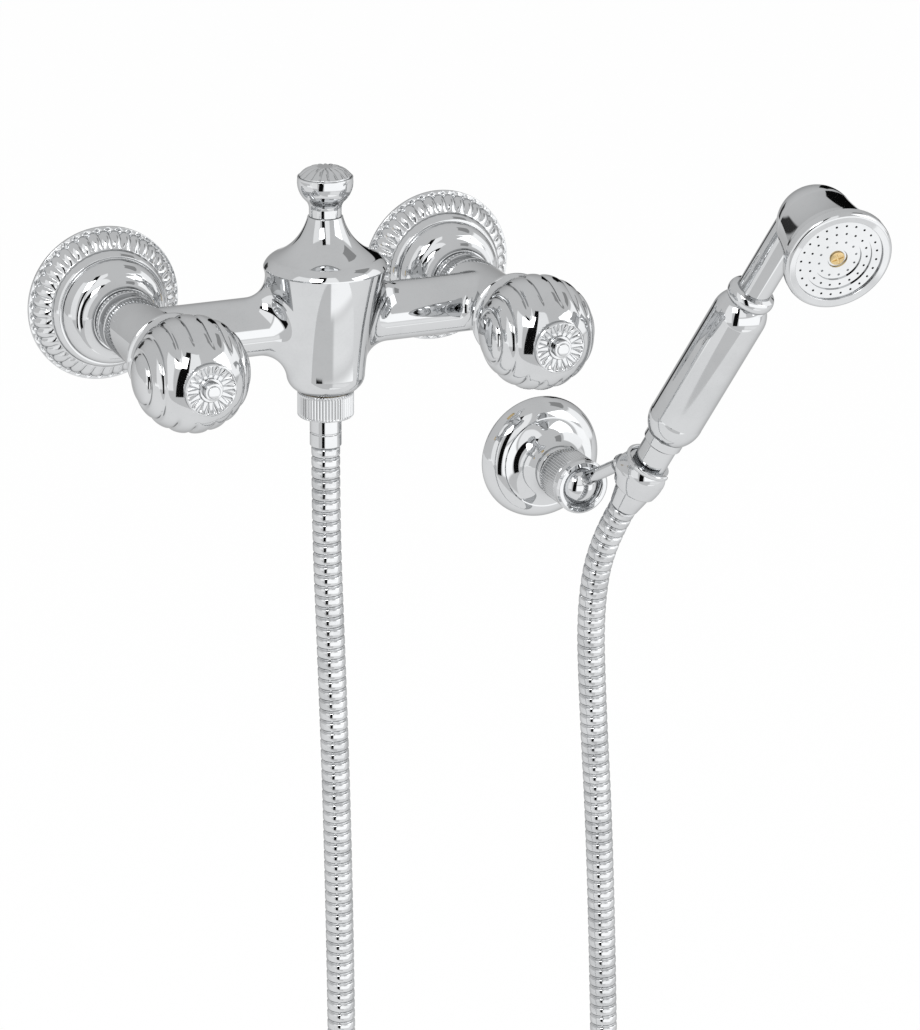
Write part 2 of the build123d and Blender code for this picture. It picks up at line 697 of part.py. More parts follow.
def escutcheon():
    """The wall flange: a thin bell with a ring of lobes round its edge."""
    rim = (LOBE_OUTER_R, FLANGE_RIM + 0.5)
    band = (LOBE_INNER_R, LOBE_TOP)
    step = (FLANGE_STEP_R, FLANGE_STEP)
    dome_foot = (FLANGE_STEP_R - FLANGE_LEDGE, FLANGE_STEP)
    dome = (FLANGE_DOME_R, FLANGE_DOME)
    neck = (NUT_SLEEVE_R + 2 * SEAT + FLANGE_WALL, FLANGE_HEIGHT)
    inner = NUT_SLEEVE_R + 2 * SEAT
    shell = lathe(
        (FLANGE_R, 0),
        (FLANGE_R, FLANGE_RIM),
        rim,
        bulged(rim, band, LOBE_CROWN),
        bulged(band, step, FLANGE_STEP_CROWN),
        dome_foot,
        bulged(dome_foot, dome, FLANGE_DOME_CROWN),
        bulged(dome, neck, FLANGE_NECK_SWEEP),
        (inner, FLANGE_HEIGHT),
        (inner, FLANGE_DOME + 1.6),
        (inner + 1.0, FLANGE_DOME + 0.2),
        (FLANGE_DOME_R - FLANGE_WALL - 0.3, FLANGE_DOME - FLANGE_WALL - 0.3),
        (FLANGE_STEP_R - FLANGE_WALL - FLANGE_LEDGE, FLANGE_STEP + 0.4),
        (LOBE_INNER_R - FLANGE_WALL + 0.1, LOBE_TOP - FLANGE_WALL - 0.3),
        (LOBE_OUTER_R - FLANGE_WALL - 0.5, FLANGE_RIM + 0.2),
        (FLANGE_R - FLANGE_WALL - 0.3, 0),
    )
    slope = degrees(atan2(band[1] - rim[1], rim[0] - band[0]))
    length = sqrt((rim[0] - band[0]) ** 2 + (band[1] - rim[1]) ** 2)
    middle = arc_bulge(rim, band, LOBE_CROWN + FLUTE_R * 0.25)
    flute = Pos(middle[0], 0, middle[1]) * Rot(0, 90 + slope, 0) * Cylinder(FLUTE_R, length)
    return shell - around(FLANGE_LOBES, flute)


# Valve parts
def seat_washer():
    """The rubber washer under the ceramic valve."""
    return ring(CARTRIDGE_R - 0.6, WATERWAY_R - 0.5, SEAT_OUT, SEAT_OUT + SEAT_WASHER)


def fixed_disc():
    """The ceramic disc that stays still, with its two ports."""
    foot = SEAT_OUT + SEAT_WASHER
    disc = rod(DISC_R, foot, foot + DISC)
    port = Pos(DISC_R / 2, 0, 0) * rod(PORT_R, foot, foot + DISC)
    return disc - around(2, port)


def moving_disc():
    """The ceramic disc that turns with the stem, with two openings at right angles to the ports."""
    foot = SEAT_OUT + SEAT_WASHER + DISC + SEAT
    disc = rod(DISC_R - 0.2, foot, foot + DISC)
    port = Pos(DISC_R / 2, 0, 0) * rod(PORT_R, foot, foot + DISC)
    return disc - around(2, port, 90)


def stem_foot():
    """Out of the face of the stem's foot that drives the moving disc."""
    return SEAT_OUT + SEAT_WASHER + 2 * DISC + 2 * SEAT


def headwork():
    """The valve's housing: screwed into the leg, with a ring in front that shows."""
    foot = SEAT_OUT + SEAT_WASHER + SEAT
    cavity = stem_foot() + VALVE_CAVITY
    housing = lathe(
        (DISC_R + SEAT, foot),
        (CARTRIDGE_R, foot),
        (CARTRIDGE_R, LEG_FRONT),
        (COLLAR_R, LEG_FRONT),
        (COLLAR_R, COLLAR_FRONT - COLLAR_BEVEL),
        (COLLAR_R - COLLAR_BEVEL, COLLAR_FRONT),
        (GUIDE_R, COLLAR_FRONT),
        (GUIDE_R, GUIDE_FRONT),
        (STEM_R + RUN, GUIDE_FRONT),
        (STEM_R + RUN, cavity),
        (DISC_R + SEAT, cavity),
    )
    window = Pos(0, 0, cavity - PORT_R - 0.2) * Rot(0, 90, 0) * Cylinder(PORT_R, 4 * CARTRIDGE_R)
    return housing - window


def spindle():
    """The stem that the handle turns, with a foot that grips the moving disc."""
    foot = stem_foot()
    stem = lathe(
        (0, foot),
        (STEM_FOOT_R, foot),
        (STEM_FOOT_R, foot + STEM_FOOT),
        (STEM_R, foot + STEM_FOOT),
        (STEM_R, SEAL_BACK),
        (SEAL_R, SEAL_BACK),
        (SEAL_R, SEAL_BACK + SEAL),
        (STEM_R, SEAL_BACK + SEAL),
        (STEM_R, STEM_FRONT),
        (0, STEM_FRONT),
    )
    return stem - rod(SCREW_R + SEAT, screw_end() - 1.0, STEM_FRONT)


def spindle_seal():
    """The rubber ring in the stem's groove."""
    return ring(STEM_R + RUN / 3, SEAL_R + SEAT, SEAL_BACK + SEAT, SEAL_BACK + SEAL - SEAT)


# Handle
def web_front():
    """Out of the face in the handle that its screw pulls on."""
    return INSERT_FRONT + HANDLE_WEB


def screw_end():
    """Out of the handle screw's inner end."""
    return web_front() - SCREW_LENGTH


def rosette_seat():
    """Out of the flat on the front of the ball."""
    return HANDLE_OUT + sphere_height(HANDLE_R, ROSETTE_R + 0.2)


def ridged_ball():
    """A ball with grooves round the X axis, evenly spaced in angle, and plain ends."""
    half = RIDGE_PITCH / 2
    steps = [half + RIDGE_PITCH * n for n in range(RIDGE_ROWS)]
    grooves = [-angle for angle in reversed(steps)] + steps
    low_r = HANDLE_R - RIDGE_DEPTH

    def at(radius, angle):
        return (radius * cos(radians(angle)), radius * sin(radians(angle)))

    first = at(low_r, grooves[0])
    last = at(low_r, grooves[-1])
    outline = [(0, -HANDLE_R), (*cap_middle(first, -HANDLE_R), *first)]
    for left, right in zip(grooves, grooves[1:]):
        outline.append((*at(HANDLE_R, (left + right) / 2), *at(low_r, right)))
    outline.append((*cap_middle(last, HANDLE_R), 0, HANDLE_R))
    return Pos(0, 0, HANDLE_OUT) * Rot(0, 90, 0) * lathe(*outline)


def handle():
    """The ball handle: ridges that fade out towards the front, and a thin flange behind."""
    waist = HANDLE_BACK + HANDLE_FLANGE + HANDLE_WAIST
    neck_r = HANDLE_FLANGE_R - HANDLE_NECK
    neck = HANDLE_OUT - sphere_height(HANDLE_R - RIDGE_DEPTH, neck_r)
    ball = ridged_ball() + Pos(0, 0, HANDLE_OUT + SMOOTH_SHIFT) * Sphere(SMOOTH_R)
    ball &= rod(HANDLE_R + 1, neck - 1.0, rosette_seat())
    skirt = lathe(
        (0, HANDLE_BACK),
        (HANDLE_FLANGE_R, HANDLE_BACK),
        (HANDLE_FLANGE_R, HANDLE_BACK + HANDLE_FLANGE),
        (HANDLE_WAIST_R, waist, neck_r, neck),
        (0, neck + 4.0),
    )
    shape = ball + skirt
    bore = lathe(
        (0, HANDLE_BACK),
        (COLLAR_R + 1.0, HANDLE_BACK),
        (COLLAR_R + 1.0, INSERT_BACK),
        (INSERT_R + SEAT, INSERT_BACK),
        (INSERT_R + SEAT, INSERT_FRONT),
        (SCREW_R + SCREW_PLAY, INSERT_FRONT),
        (SCREW_R + SCREW_PLAY, web_front()),
        (POCKET_R, web_front()),
        (POCKET_R, rosette_seat()),
        (0, rosette_seat()),
    )
    return shape - bore


def handle_insert():
    """The splined plastic bush between stem and handle."""
    return lathe(
        (STEM_R + SEAT, INSERT_BACK),
        (INSERT_R, INSERT_BACK),
        (INSERT_R, INSERT_FRONT),
        (SCREW_R + SCREW_PLAY, INSERT_FRONT),
        (SCREW_R + SCREW_PLAY, STEM_FRONT + 0.2),
        (STEM_R + SEAT, STEM_FRONT + 0.2),
    )


def handle_screw():
    """The screw that holds the handle on its stem."""
    head = web_front()
    screw = lathe(
        (0, screw_end()),
        (SCREW_R, screw_end()),
        (SCREW_R, head),
        (SCREW_HEAD_R, head),
        (SCREW_HEAD_R, head + SCREW_HEAD),
        (0, head + SCREW_HEAD),
    )
    return screw - Pos(0, 0, head + SCREW_HEAD) * Box(2 * SCREW_HEAD_R, SCREW_SLOT, SCREW_HEAD - 0.6)


def index_rosette():
    """The fluted disc on the front of the handle, with a plug that goes into the pocket."""
    seat = rosette_seat()
    rim = (ROSETTE_R - 0.5, seat + ROSETTE)
    dish = (BUTTON_R + 0.9, seat + ROSETTE_DISH)
    disc = lathe(
        (0, seat - ROSETTE_PLUG),
        (POCKET_R - SEAT, seat - ROSETTE_PLUG),
        (POCKET_R - SEAT, seat),
        (ROSETTE_R, seat),
        (ROSETTE_R, seat + ROSETTE - 0.5),
        rim,
        bulged(rim, dish, -0.25),
        (BUTTON_R + 0.3, seat + ROSETTE + 0.4),
        (BUTTON_R - 0.5, seat + ROSETTE + 0.4),
        (BUTTON_R - 0.5, seat + ROSETTE_SOCKET),
        (0, seat + ROSETTE_SOCKET),
    )
    middle = (rim[0] + dish[0]) / 2
    length = rim[0] - dish[0] - 0.6
    flute = Pos(middle, 0, seat + ROSETTE + 0.1) * Rot(0, 84, 0) * Cone(0.45, 1.15, length)
    return disc - around(ROSETTE_FLUTES, flute)


def index_button():
    """The plain button in the middle of the rosette."""
    seat = rosette_seat() + ROSETTE_SOCKET
    shoulder = (BUTTON_INNER_R - 0.3, BUTTON_FRONT - 0.2)
    return lathe(
        (0, seat),
        (BUTTON_R - 0.5 - SEAT, seat),
        (BUTTON_R - 0.5 - SEAT, BUTTON_FRONT - 1.2),
        (BUTTON_R - 0.9, BUTTON_FRONT - 0.5, BUTTON_INNER_R + 0.3, BUTTON_FRONT - 0.4),
        (BUTTON_INNER_R, BUTTON_FRONT - 0.7),
        shoulder,
        (*cap_middle(shoulder, BUTTON_FRONT), 0, BUTTON_FRONT),
    )


# Wall bracket
def bracket_wall_plate():
    """The disc that is screwed to the wall, with the threaded boss that carries the rest."""
    plate = rod(PLATE_R, 0, PLATE) + rod(PLATE_BOSS_R, PLATE, PLATE_BOSS)
    hole = Pos(PLATE_HOLE_CENTRES / 2, 0, 0) * rod(PLATE_HOLE_R, 0, PLATE)
    return plate - around(2, hole)


def bracket_rose():
    """The plain bell that covers the wall plate."""
    edge = (ROSE_R, ROSE_EDGE)
    step = (ROSE_STEP_R, ROSE_STEP)
    sweep = (ROSE_STEP_R - ROSE_LEDGE, ROSE_STEP)
    neck = (ROSE_NECK_R, ROSE_HEIGHT)
    inner = SOCKET_R + SEAT
    return lathe(
        (ROSE_R, 0),
        edge,
        bulged(edge, step, ROSE_CROWN),
        sweep,
        bulged(sweep, neck, ROSE_SWEEP),
        (inner, ROSE_HEIGHT),
        (inner, ROSE_HEIGHT - ROSE_GRIP),
        (SOCKET_R + 3.6, ROSE_STEP + 1.2),
        (ROSE_STEP_R - 1.0, ROSE_STEP - ROSE_WALL - 0.3),
        (ROSE_R - 3.4, 3.2),
        (ROSE_R - ROSE_WALL, 0),
    )


def ball_socket():
    """The socket behind the ball: it screws onto the plate's boss and clamps the rose."""
    return lathe(
        (PLATE_BOSS_R + SEAT, SOCKET_BACK),
        (SOCKET_R, SOCKET_BACK),
        (SOCKET_R, ROSE_HEIGHT),
        (SOCKET_BEAD_R, ROSE_HEIGHT),
        bulged((SOCKET_BEAD_R, ROSE_HEIGHT), (SOCKET_BEAD_R, SOCKET_BEAD_FRONT), SOCKET_BEAD_CROWN),
        (SOCKET_THREAD_R - EDGE, SOCKET_BEAD_FRONT),
        (SOCKET_THREAD_R - EDGE, CLAMP_BACK),
        (SOCKET_THREAD_R, CLAMP_BACK + EDGE),
        (SOCKET_THREAD_R, SOCKET_FRONT),
        (SEAT_RING_R + RUN, SOCKET_FRONT),
        (SEAT_RING_R + RUN, SEAT_RING_BACK - RUN),
        (PLATE_BOSS_R - 2, SEAT_RING_BACK - RUN),
        (PLATE_BOSS_R - 2, PLATE_BOSS + 1.0),
        (PLATE_BOSS_R + SEAT, PLATE_BOSS + 1.0),
    ) - grub_hole()


def grub_hole():
    """The tapped hole for the grub screw, from below."""
    return Pos(0, 0, GRUB_OUT) * Rot(90, 0, 0) * rod(GRUB_R + SEAT, 0, SOCKET_R + 1)


def bracket_grub_screw():
    """The grub screw that keeps the socket from turning on its boss."""
    length = SOCKET_R - PLATE_BOSS_R - SEAT
    screw = rod(GRUB_R, PLATE_BOSS_R, PLATE_BOSS_R + length - 0.1)
    return Pos(0, 0, GRUB_OUT) * Rot(90, 0, 0) * screw


def ball_seat():
    """The plastic ring that the ball presses against."""
    cup_r = BALL_R + 0.08
    front_r = sqrt(cup_r ** 2 - (BALL_OUT - SEAT_RING_FRONT) ** 2)
    back_r = SEAT_RING_BORE_R
    back = BALL_OUT - sqrt(cup_r ** 2 - back_r ** 2)
    if front_r > SEAT_RING_R - 0.4:
        front_r = SEAT_RING_R - 0.4
    front = BALL_OUT - sqrt(cup_r ** 2 - front_r ** 2)
    middle_r = cup_r * sin(0.5 * (asin_of(front_r / cup_r) + asin_of(back_r / cup_r)))
    middle = BALL_OUT - sqrt(cup_r ** 2 - middle_r ** 2)
    return lathe(
        (back_r, back),
        (back_r, SEAT_RING_BACK),
        (SEAT_RING_R, SEAT_RING_BACK),
        (SEAT_RING_R, front),
        (front_r, front),
        (middle_r, middle, back_r, back),
    )


def asin_of(share):
    """The angle, in radians, whose sine is a share."""
    return atan2(share, sqrt(1 - share ** 2))


def ball_clamp_nut():
    """The knurled nut in front of the ball, which tightens it against its seat."""
    contact = BALL_OUT + sqrt((BALL_R + 0.1) ** 2 - CLAMP_MOUTH_R ** 2)
    cavity = SOCKET_FRONT + 0.4
    inner = BALL_R + 0.15
    thread = SOCKET_THREAD_R + SEAT
    ring_back = CLAMP_FRONT - CLAMP_RING
    middle_r = (inner + CLAMP_MOUTH_R) / 2
    middle = BALL_OUT + sqrt((BALL_R + 0.15) ** 2 - middle_r ** 2) + 0.1
    nut = lathe(
        (thread, CLAMP_BACK),
        (CLAMP_R - 0.5, CLAMP_BACK),
        (CLAMP_R, CLAMP_BACK + 0.5),
        (CLAMP_R, ring_back - 0.6),
        (CLAMP_R - 0.7, ring_back),
        (CLAMP_RING_R - 0.4, ring_back),
        (CLAMP_RING_R, ring_back + 0.5),
        (CLAMP_RING_R, CLAMP_FRONT - 1.2),
        (CLAMP_RING_R - 1.0, CLAMP_FRONT),
        (CLAMP_MOUTH_R + 1.5, CLAMP_FRONT),
        (CLAMP_MOUTH_R, contact),
        (middle_r, middle, inner, BALL_OUT + 0.4),
        (inner, cavity),
        (thread, cavity),
    )
    groove = Pos(CLAMP_R + 0.15, 0, 0) * rod(KNURL_R, CLAMP_BACK + 0.8, ring_back - 0.9)
    return nut - around(CLAMP_KNURLS, groove)


# Swivel arm and cradle
def slot_side(radius, height):
    """A point on the side of the cradle away from its slot, in the object's own axes."""
    return SLOT_FRAME.from_local_coords(Vector(-radius, 0, height))


def arm_frame():
    """A frame at the ball's centre whose Z points along the arm's rod, and the rod's reach."""
    foot = slot_side(CRADLE_BORE_TOP_R, ARM_SEAT)
    return Plane(origin=BALL_CENTRE, z_dir=foot - BALL_CENTRE), (foot - BALL_CENTRE).length


def cradle_blank(grown=0.0):
    """The cradle before its bore and slot are cut: a barrel with a lip, and the rod's boss."""
    barrel = lathe(
        (0, grown),
        (CRADLE_TOP_R - EDGE + grown, grown),
        (CRADLE_TOP_R + grown, -EDGE),
        (CRADLE_TOP_R + grown, EDGE - CRADLE_LIP),
        (CRADLE_TOP_R - EDGE + grown, -CRADLE_LIP),
        (CRADLE_R + grown, -CRADLE_BELLY, CRADLE_FOOT_R + grown, -CRADLE_HEIGHT + 0.6),
        (CRADLE_FOOT_R - EDGE + grown, -CRADLE_HEIGHT - grown),
        (0, -CRADLE_HEIGHT - grown),
    )
    boss = Pos(-CRADLE_BOSS, 0, -CRADLE_BOSS_DOWN) * Sphere(CRADLE_BOSS_R + grown)
    return barrel + boss


def swivel_arm():
    """The ball with its rod, in one piece, the rod's end cut to the cradle's outside."""
    frame, length = arm_frame()
    arm = lathe(
        (0, -BALL_FLAT),
        (sphere_height(BALL_R, BALL_FLAT), -BALL_FLAT),
        (BALL_R, 0, ARM_ROD_R, sphere_height(BALL_R, ARM_ROD_R)),
        (ARM_ROD_R, length),
        (0, length),
    )
    return placed(frame, arm) - placed(SLOT_FRAME, cradle_blank(SEAT / 2))


def cradle():
    """The open ring that holds the hose's cone, with a slot for the hose and a boss for the rod."""
    bore = lathe(
        (0, 1),
        (CRADLE_BORE_TOP_R, 1),
        (CRADLE_BORE_TOP_R, 0),
        (CRADLE_BORE_FOOT_R, -CRADLE_HEIGHT),
        (CRADLE_BORE_FOOT_R, -CRADLE_HEIGHT - 1),
        (0, -CRADLE_HEIGHT - 1),
    )
    slot = Pos(CRADLE_R, 0, -CRADLE_HEIGHT / 2) * Box(2 * CRADLE_R, CRADLE_SLOT, 2 * CRADLE_HEIGHT)
    return placed(SLOT_FRAME, cradle_blank() - bore - slot)


# Hose cone and hand shower, along the grip's axis
def cone_radius(height):
    """The outer radius of the hose's cone where it sits in the cradle."""
    share = -height / CRADLE_HEIGHT
    bore = CRADLE_BORE_TOP_R + share * (CRADLE_BORE_FOOT_R - CRADLE_BORE_TOP_R)
    return bore - CONE_GAP


def hose_end_swivel():
    """The ferrule at the hose's other end, which lets the cone turn without twisting the hose."""
    return lathe(
        (SWIVEL_BORE_R, CONE_FOOT),
        (SWIVEL_R, CONE_FOOT),
        (SWIVEL_R, SWIVEL_SEAT),
        (SWIVEL_FLANGE_R, SWIVEL_SEAT),
        (SWIVEL_FLANGE_R, SWIVEL_SEAT + SWIVEL_FLANGE),
        (SWIVEL_BORE_R, SWIVEL_SEAT + SWIVEL_FLANGE),
    )


def hose_cone_nut():
    """The conical nut that rests in the cradle and screws onto the hand shower."""
    thread = CONE_THREAD_R + SEAT
    low = SWIVEL_R + RUN
    return lathe(
        (low, CONE_FOOT + 0.1),
        (CONE_FOOT_R - EDGE, CONE_FOOT + 0.1),
        (CONE_FOOT_R, CONE_FOOT + 0.6),
        (cone_radius(-CRADLE_HEIGHT), -CRADLE_HEIGHT),
        (cone_radius(CONE_TOP), CONE_TOP),
        (thread, CONE_TOP),
        (thread, SWIVEL_SEAT - RUN),
        (low, SWIVEL_SEAT - RUN),
    )


def cone_washer():
    """The rubber washer between the hose's swivel and the hand shower."""
    foot = SWIVEL_SEAT + SWIVEL_FLANGE + RUN
    return ring(CONE_THREAD_R - 0.2, SWIVEL_BORE_R + 0.4, foot, foot + GRIP_WASHER)


def coupling_foot():
    """The height of the coupling's lower end."""
    return SWIVEL_SEAT + SWIVEL_FLANGE + RUN + GRIP_WASHER


def handset_coupling():
    """The threaded lower end of the hand shower."""
    return lathe(
        (SWIVEL_BORE_R, coupling_foot()),
        (CONE_THREAD_R, coupling_foot()),
        (CONE_THREAD_R, CONE_TOP + 0.3),
        (COUPLING_R, CONE_TOP + 0.6),
        (COUPLING_R, COUPLING_BAND - 0.6),
        (COUPLING_BAND_R, COUPLING_BAND + 0.2),
        (COUPLING_BAND_R, GRIP_FOOT),
        (GRIP_BORE_R - SEAT, GRIP_FOOT),
        (GRIP_BORE_R - SEAT, GRIP_FOOT + COUPLING_SPIGOT),
        (SWIVEL_BORE_R, GRIP_FOOT + COUPLING_SPIGOT),
    )


def handset_tube():
    """The water tube inside the grip."""
    return ring(TUBE_R, TUBE_BORE_R, GRIP_FOOT + COUPLING_SPIGOT, GRIP_TOP + COLLAR_BEAD)


def handset_grip():
    """The plain round grip with its rounded ends."""
    low = (GRIP_END_R, GRIP_FOOT)
    low_full = (GRIP_R, GRIP_FOOT + GRIP_ROUND)
    top_full = (GRIP_R, GRIP_TOP - GRIP_TOP_ROUND)
    top = (GRIP_END_R, GRIP_TOP)
    return lathe(
        (GRIP_BORE_R, GRIP_FOOT),
        low,
        bulged(low, low_full, GRIP_FOOT_CROWN),
        top_full,
        bulged(top_full, top, GRIP_TOP_CROWN),
        (GRIP_BORE_R, GRIP_TOP),
    )


def grip_collar():
    """The bead between grip and neck."""
    low = (GRIP_END_R - EDGE, GRIP_TOP)
    high = (NECK_R + 0.5, GRIP_TOP + COLLAR_BEAD)
    return lathe(
        (GRIP_BORE_R, GRIP_TOP),
        low,
        (COLLAR_BEAD_R - 0.5, GRIP_TOP + 0.6),
        (COLLAR_BEAD_R + 0.3, GRIP_TOP + COLLAR_BEAD / 2, COLLAR_BEAD_R - 0.5, GRIP_TOP + COLLAR_BEAD - 0.8),
        high,
        (GRIP_BORE_R, GRIP_TOP + COLLAR_BEAD),
    )


def face_frame():
    """A frame at the spray face's centre whose Z points the way the water leaves."""
    dome = Vector(DOME_FRONT, 0, DOME_UP)
    face = Vector(FACE_FRONT, 0, FACE_UP)
    return Plane(origin=face, x_dir=(0, 1, 0), z_dir=face - dome), (face - dome).length


def handset_head():
    """Neck, dome and cup in one shell."""
    frame, depth = face_frame()
    neck_foot = GRIP_TOP + COLLAR_BEAD
    back = SPRAY_RING - EDGE
    flare = (CUP_RIM_R - EDGE, -back - CUP_FLARE)
    neck = rod(NECK_R, neck_foot, NECK_TOP)
    cup = placed(frame, lathe(
        (0, -depth - DOME_R),
        (DOME_R * 0.7071, -depth - DOME_R * 0.7071, DOME_R, -depth),
        bulged((DOME_R, -depth), flare, CUP_SWEEP),
        (CUP_RIM_R, -back - 1.0),
        (CUP_RIM_R, -back),
        (SPRAY_RING_LIP_R - SEAT, -back),
        (SPRAY_RING_LIP_R - SEAT, -SPRAY_PLATE - SPRAY_GASKET),
        (0, -SPRAY_PLATE - SPRAY_GASKET),
    ))
    inner_r = SPRAY_RING_LIP_R - 1.8
    cavity = placed(frame, lathe(
        (0, -depth - DOME_R + CUP_WALL),
        (
            (DOME_R - CUP_WALL) * 0.7071,
            -depth - (DOME_R - CUP_WALL) * 0.7071,
            DOME_R - CUP_WALL,
            -depth,
        ),
        (inner_r, -back - CUP_FLARE),
        (inner_r, 0),
        (0, 0),
    ))
    post = placed(frame, rod(SPRAY_BOSS_R, -depth - DOME_R + 1.0, -SPRAY_PLATE - SPRAY_STEP * 2 - SEAT))
    bore = rod(NECK_BORE_R, neck_foot, NECK_TOP)
    tapped = placed(frame, rod(SPRAY_SCREW_R + SEAT, -SPRAY_SCREW_LENGTH - 2.0, 0))
    return (neck + cup) - cavity - bore + (post - tapped)


def spray_gasket():
    """The rubber ring between cup and spray plate."""
    return ring(SPRAY_PLATE_R, SPRAY_RING_LIP_R - 1.6, -SPRAY_PLATE - SPRAY_GASKET, -SPRAY_PLATE)


def spray_plate():
    """The stepped plate with its rings of fine holes."""
    outer_step, inner_step = SPRAY_STEP_RS
    plate = lathe(
        (SPRAY_SCREW_R + SCREW_PLAY, -SPRAY_PLATE - 2 * SPRAY_STEP),
        (inner_step + EDGE, -SPRAY_PLATE - 2 * SPRAY_STEP),
        (inner_step + EDGE, -SPRAY_PLATE - SPRAY_STEP),
        (outer_step + EDGE, -SPRAY_PLATE - SPRAY_STEP),
        (outer_step + EDGE, -SPRAY_PLATE),
        (SPRAY_PLATE_R, -SPRAY_PLATE),
        (SPRAY_PLATE_R, 0),
        (outer_step, 0),
        (outer_step, -SPRAY_STEP),
        (inner_step, -SPRAY_STEP),
        (inner_step, -2 * SPRAY_STEP),
        (SPRAY_RECESS_R, -2 * SPRAY_STEP),
        (SPRAY_RECESS_R - 0.3, -2 * SPRAY_STEP - SPRAY_RECESS),
        (SPRAY_SCREW_R + SCREW_PLAY, -2 * SPRAY_STEP - SPRAY_RECESS),
    )
    holes = []
    for radius, count in SPRAY_HOLES:
        hole = Pos(radius, 0, 0) * rod(SPRAY_HOLE_R, -SPRAY_PLATE - 3 * SPRAY_STEP, 1)
        holes += around(count, hole)
    return plate - holes


def spray_ring():
    """The screwed ring that holds the spray plate in the cup."""
    back = EDGE - SPRAY_RING
    return lathe(
        (SPRAY_RING_LIP_R, back),
        (SPRAY_RING_R - 0.8, back),
        (SPRAY_RING_R, back + SPRAY_RING_LIP),
        (SPRAY_RING_R, -EDGE),
        (SPRAY_RING_R - 0.5, 0.8, SPRAY_RING_R - 1.6, 1.2),
        (SPRAY_PLATE_R - 0.6, SPRAY_RING_LIP),
        (SPRAY_PLATE_R - 0.6, SEAT),
        (SPRAY_RING_LIP_R, SEAT),
    )


def spray_screw():
    """The brass screw in the middle of the spray plate, with a cross slot."""
    head = -2 * SPRAY_STEP - SPRAY_RECESS
    top = head + 1.2
    edge = (SPRAY_SCREW_HEAD_R - 0.2, top - 0.5)
    screw = lathe(
        (0, -SPRAY_SCREW_LENGTH),
        (SPRAY_SCREW_R, -SPRAY_SCREW_LENGTH),
        (SPRAY_SCREW_R, head),
        (SPRAY_SCREW_HEAD_R, head),
        edge,
        (*cap_middle(edge, top), 0, top),
    )
    for angle in (40, 130):
        screw -= Rot(0, 0, angle) * Pos(0, 0, top) * Box(2 * SPRAY_SCREW_HEAD_R - 1.2, SPRAY_SCREW_SLOT, 1.1)
    return screw


# The nodes
def mixer_nodes():
    """Everything on the mixer's upright axis."""
    pieces = {
        "finial": finial(),
        "finial_cap": finial_cap(),
        "outlet_nipple": outlet_nipple(),
        "outlet_check_valve": outlet_check_valve(),
        "hose_nut": hose_nut(),
        "hose_washer": hose_washer(),
        "hose_ferrule": hose_ferrule(),
    }
    nodes = {name: placed(BODY_FRAME, piece) for name, piece in pieces.items()}
    nodes["mixer_body"] = mixer_body()
    nodes["shower_hose"] = shower_hose()
    return nodes


def inlet_nodes():
    """The pieces at each inlet, left then right."""
    pieces = {
        "escutcheon": escutcheon(),
        "union_nut": union_nut(),
        "union_washer": union_washer(),
        "seat_washer": seat_washer(),
        "fixed_disc": fixed_disc(),
        "headwork": headwork(),
        "moving_disc": moving_disc(),
        "spindle": spindle(),
        "spindle_seal": spindle_seal(),
        "handle": handle(),
        "handle_insert": handle_insert(),
        "handle_screw": handle_screw(),
        "index_rosette": index_rosette(),
        "index_button": index_button(),
    }
    nodes = {}
    for side, x in (("left", -INLET_X), ("right", INLET_X)):
        nodes[f"{side}_eccentric_union"] = placed(from_wall(x, 0), eccentric_union())
        for name, piece in pieces.items():
            nodes[f"{side}_{name}"] = placed(from_wall(x, ECCENTRIC), piece)
    return nodes


def bracket_nodes():
    """The wall bracket, its ball joint, arm and cradle."""
    pieces = {
        "bracket_wall_plate": bracket_wall_plate(),
        "bracket_rose": bracket_rose(),
        "bracket_grub_screw": bracket_grub_screw(),
        "ball_socket": ball_socket(),
        "ball_seat": ball_seat(),
        "ball_clamp_nut": ball_clamp_nut(),
    }
    nodes = {name: placed(BRACKET_FRAME, piece) for name, piece in pieces.items()}
    nodes["swivel_arm"] = swivel_arm()
    nodes["cradle"] = cradle()
    return nodes


def handset_nodes():
    """The hand shower with the hose's cone."""
    pieces = {
        "hose_end_swivel": hose_end_swivel(),
        "hose_cone_nut": hose_cone_nut(),
        "cone_washer": cone_washer(),
        "handset_coupling": handset_coupling(),
        "handset_tube": handset_tube(),
        "handset_grip": handset_grip(),
        "grip_collar": grip_collar(),
        "handset_head": handset_head(),
    }
    spray = {
        "spray_gasket": spray_gasket(),
        "spray_plate": spray_plate(),
        "spray_ring": spray_ring(),
        "spray_screw": spray_screw(),
    }
    frame, _ = face_frame()
    for name, piece in spray.items():
        pieces[name] = placed(frame, piece)
    return {name: placed(GRIP_FRAME, piece) for name, piece in pieces.items()}


def report_sizes(hose):
    """Print what the record needs: the hose's length and radii, and the joints' places."""
    radii = corner_radii(hose_points())
    length = hose_path().length
    print("hose length", round(length, 1), "smallest radius", round(min(radii), 1))
    print("hose radii", [round(radius) for radius in radii])
    for name, radius in (("crest", HOSE_R), ("valley", HOSE_VALLEY_R)):
        print("hose volume at its", name, round(pi * (radius ** 2 - HOSE_BORE_R ** 2) * length))
    print("hose volume", round(hose.volume))
    print("ball centre", BALL_CENTRE)
    print("grip axis", GRIP_AXIS)
    print("cradle centre", CRADLE_CENTRE)
    print("rod direction", arm_frame()[0].z_dir)


def main():
    """Build every node and write it."""
    os.makedirs("parts", exist_ok=True)
    nodes = {}
    for group in (mixer_nodes(), inlet_nodes(), bracket_nodes(), handset_nodes()):
        nodes.update(group)
    for name, solid in nodes.items():
        export(name, solid)
    report_sizes(nodes["shower_hose"])


main()
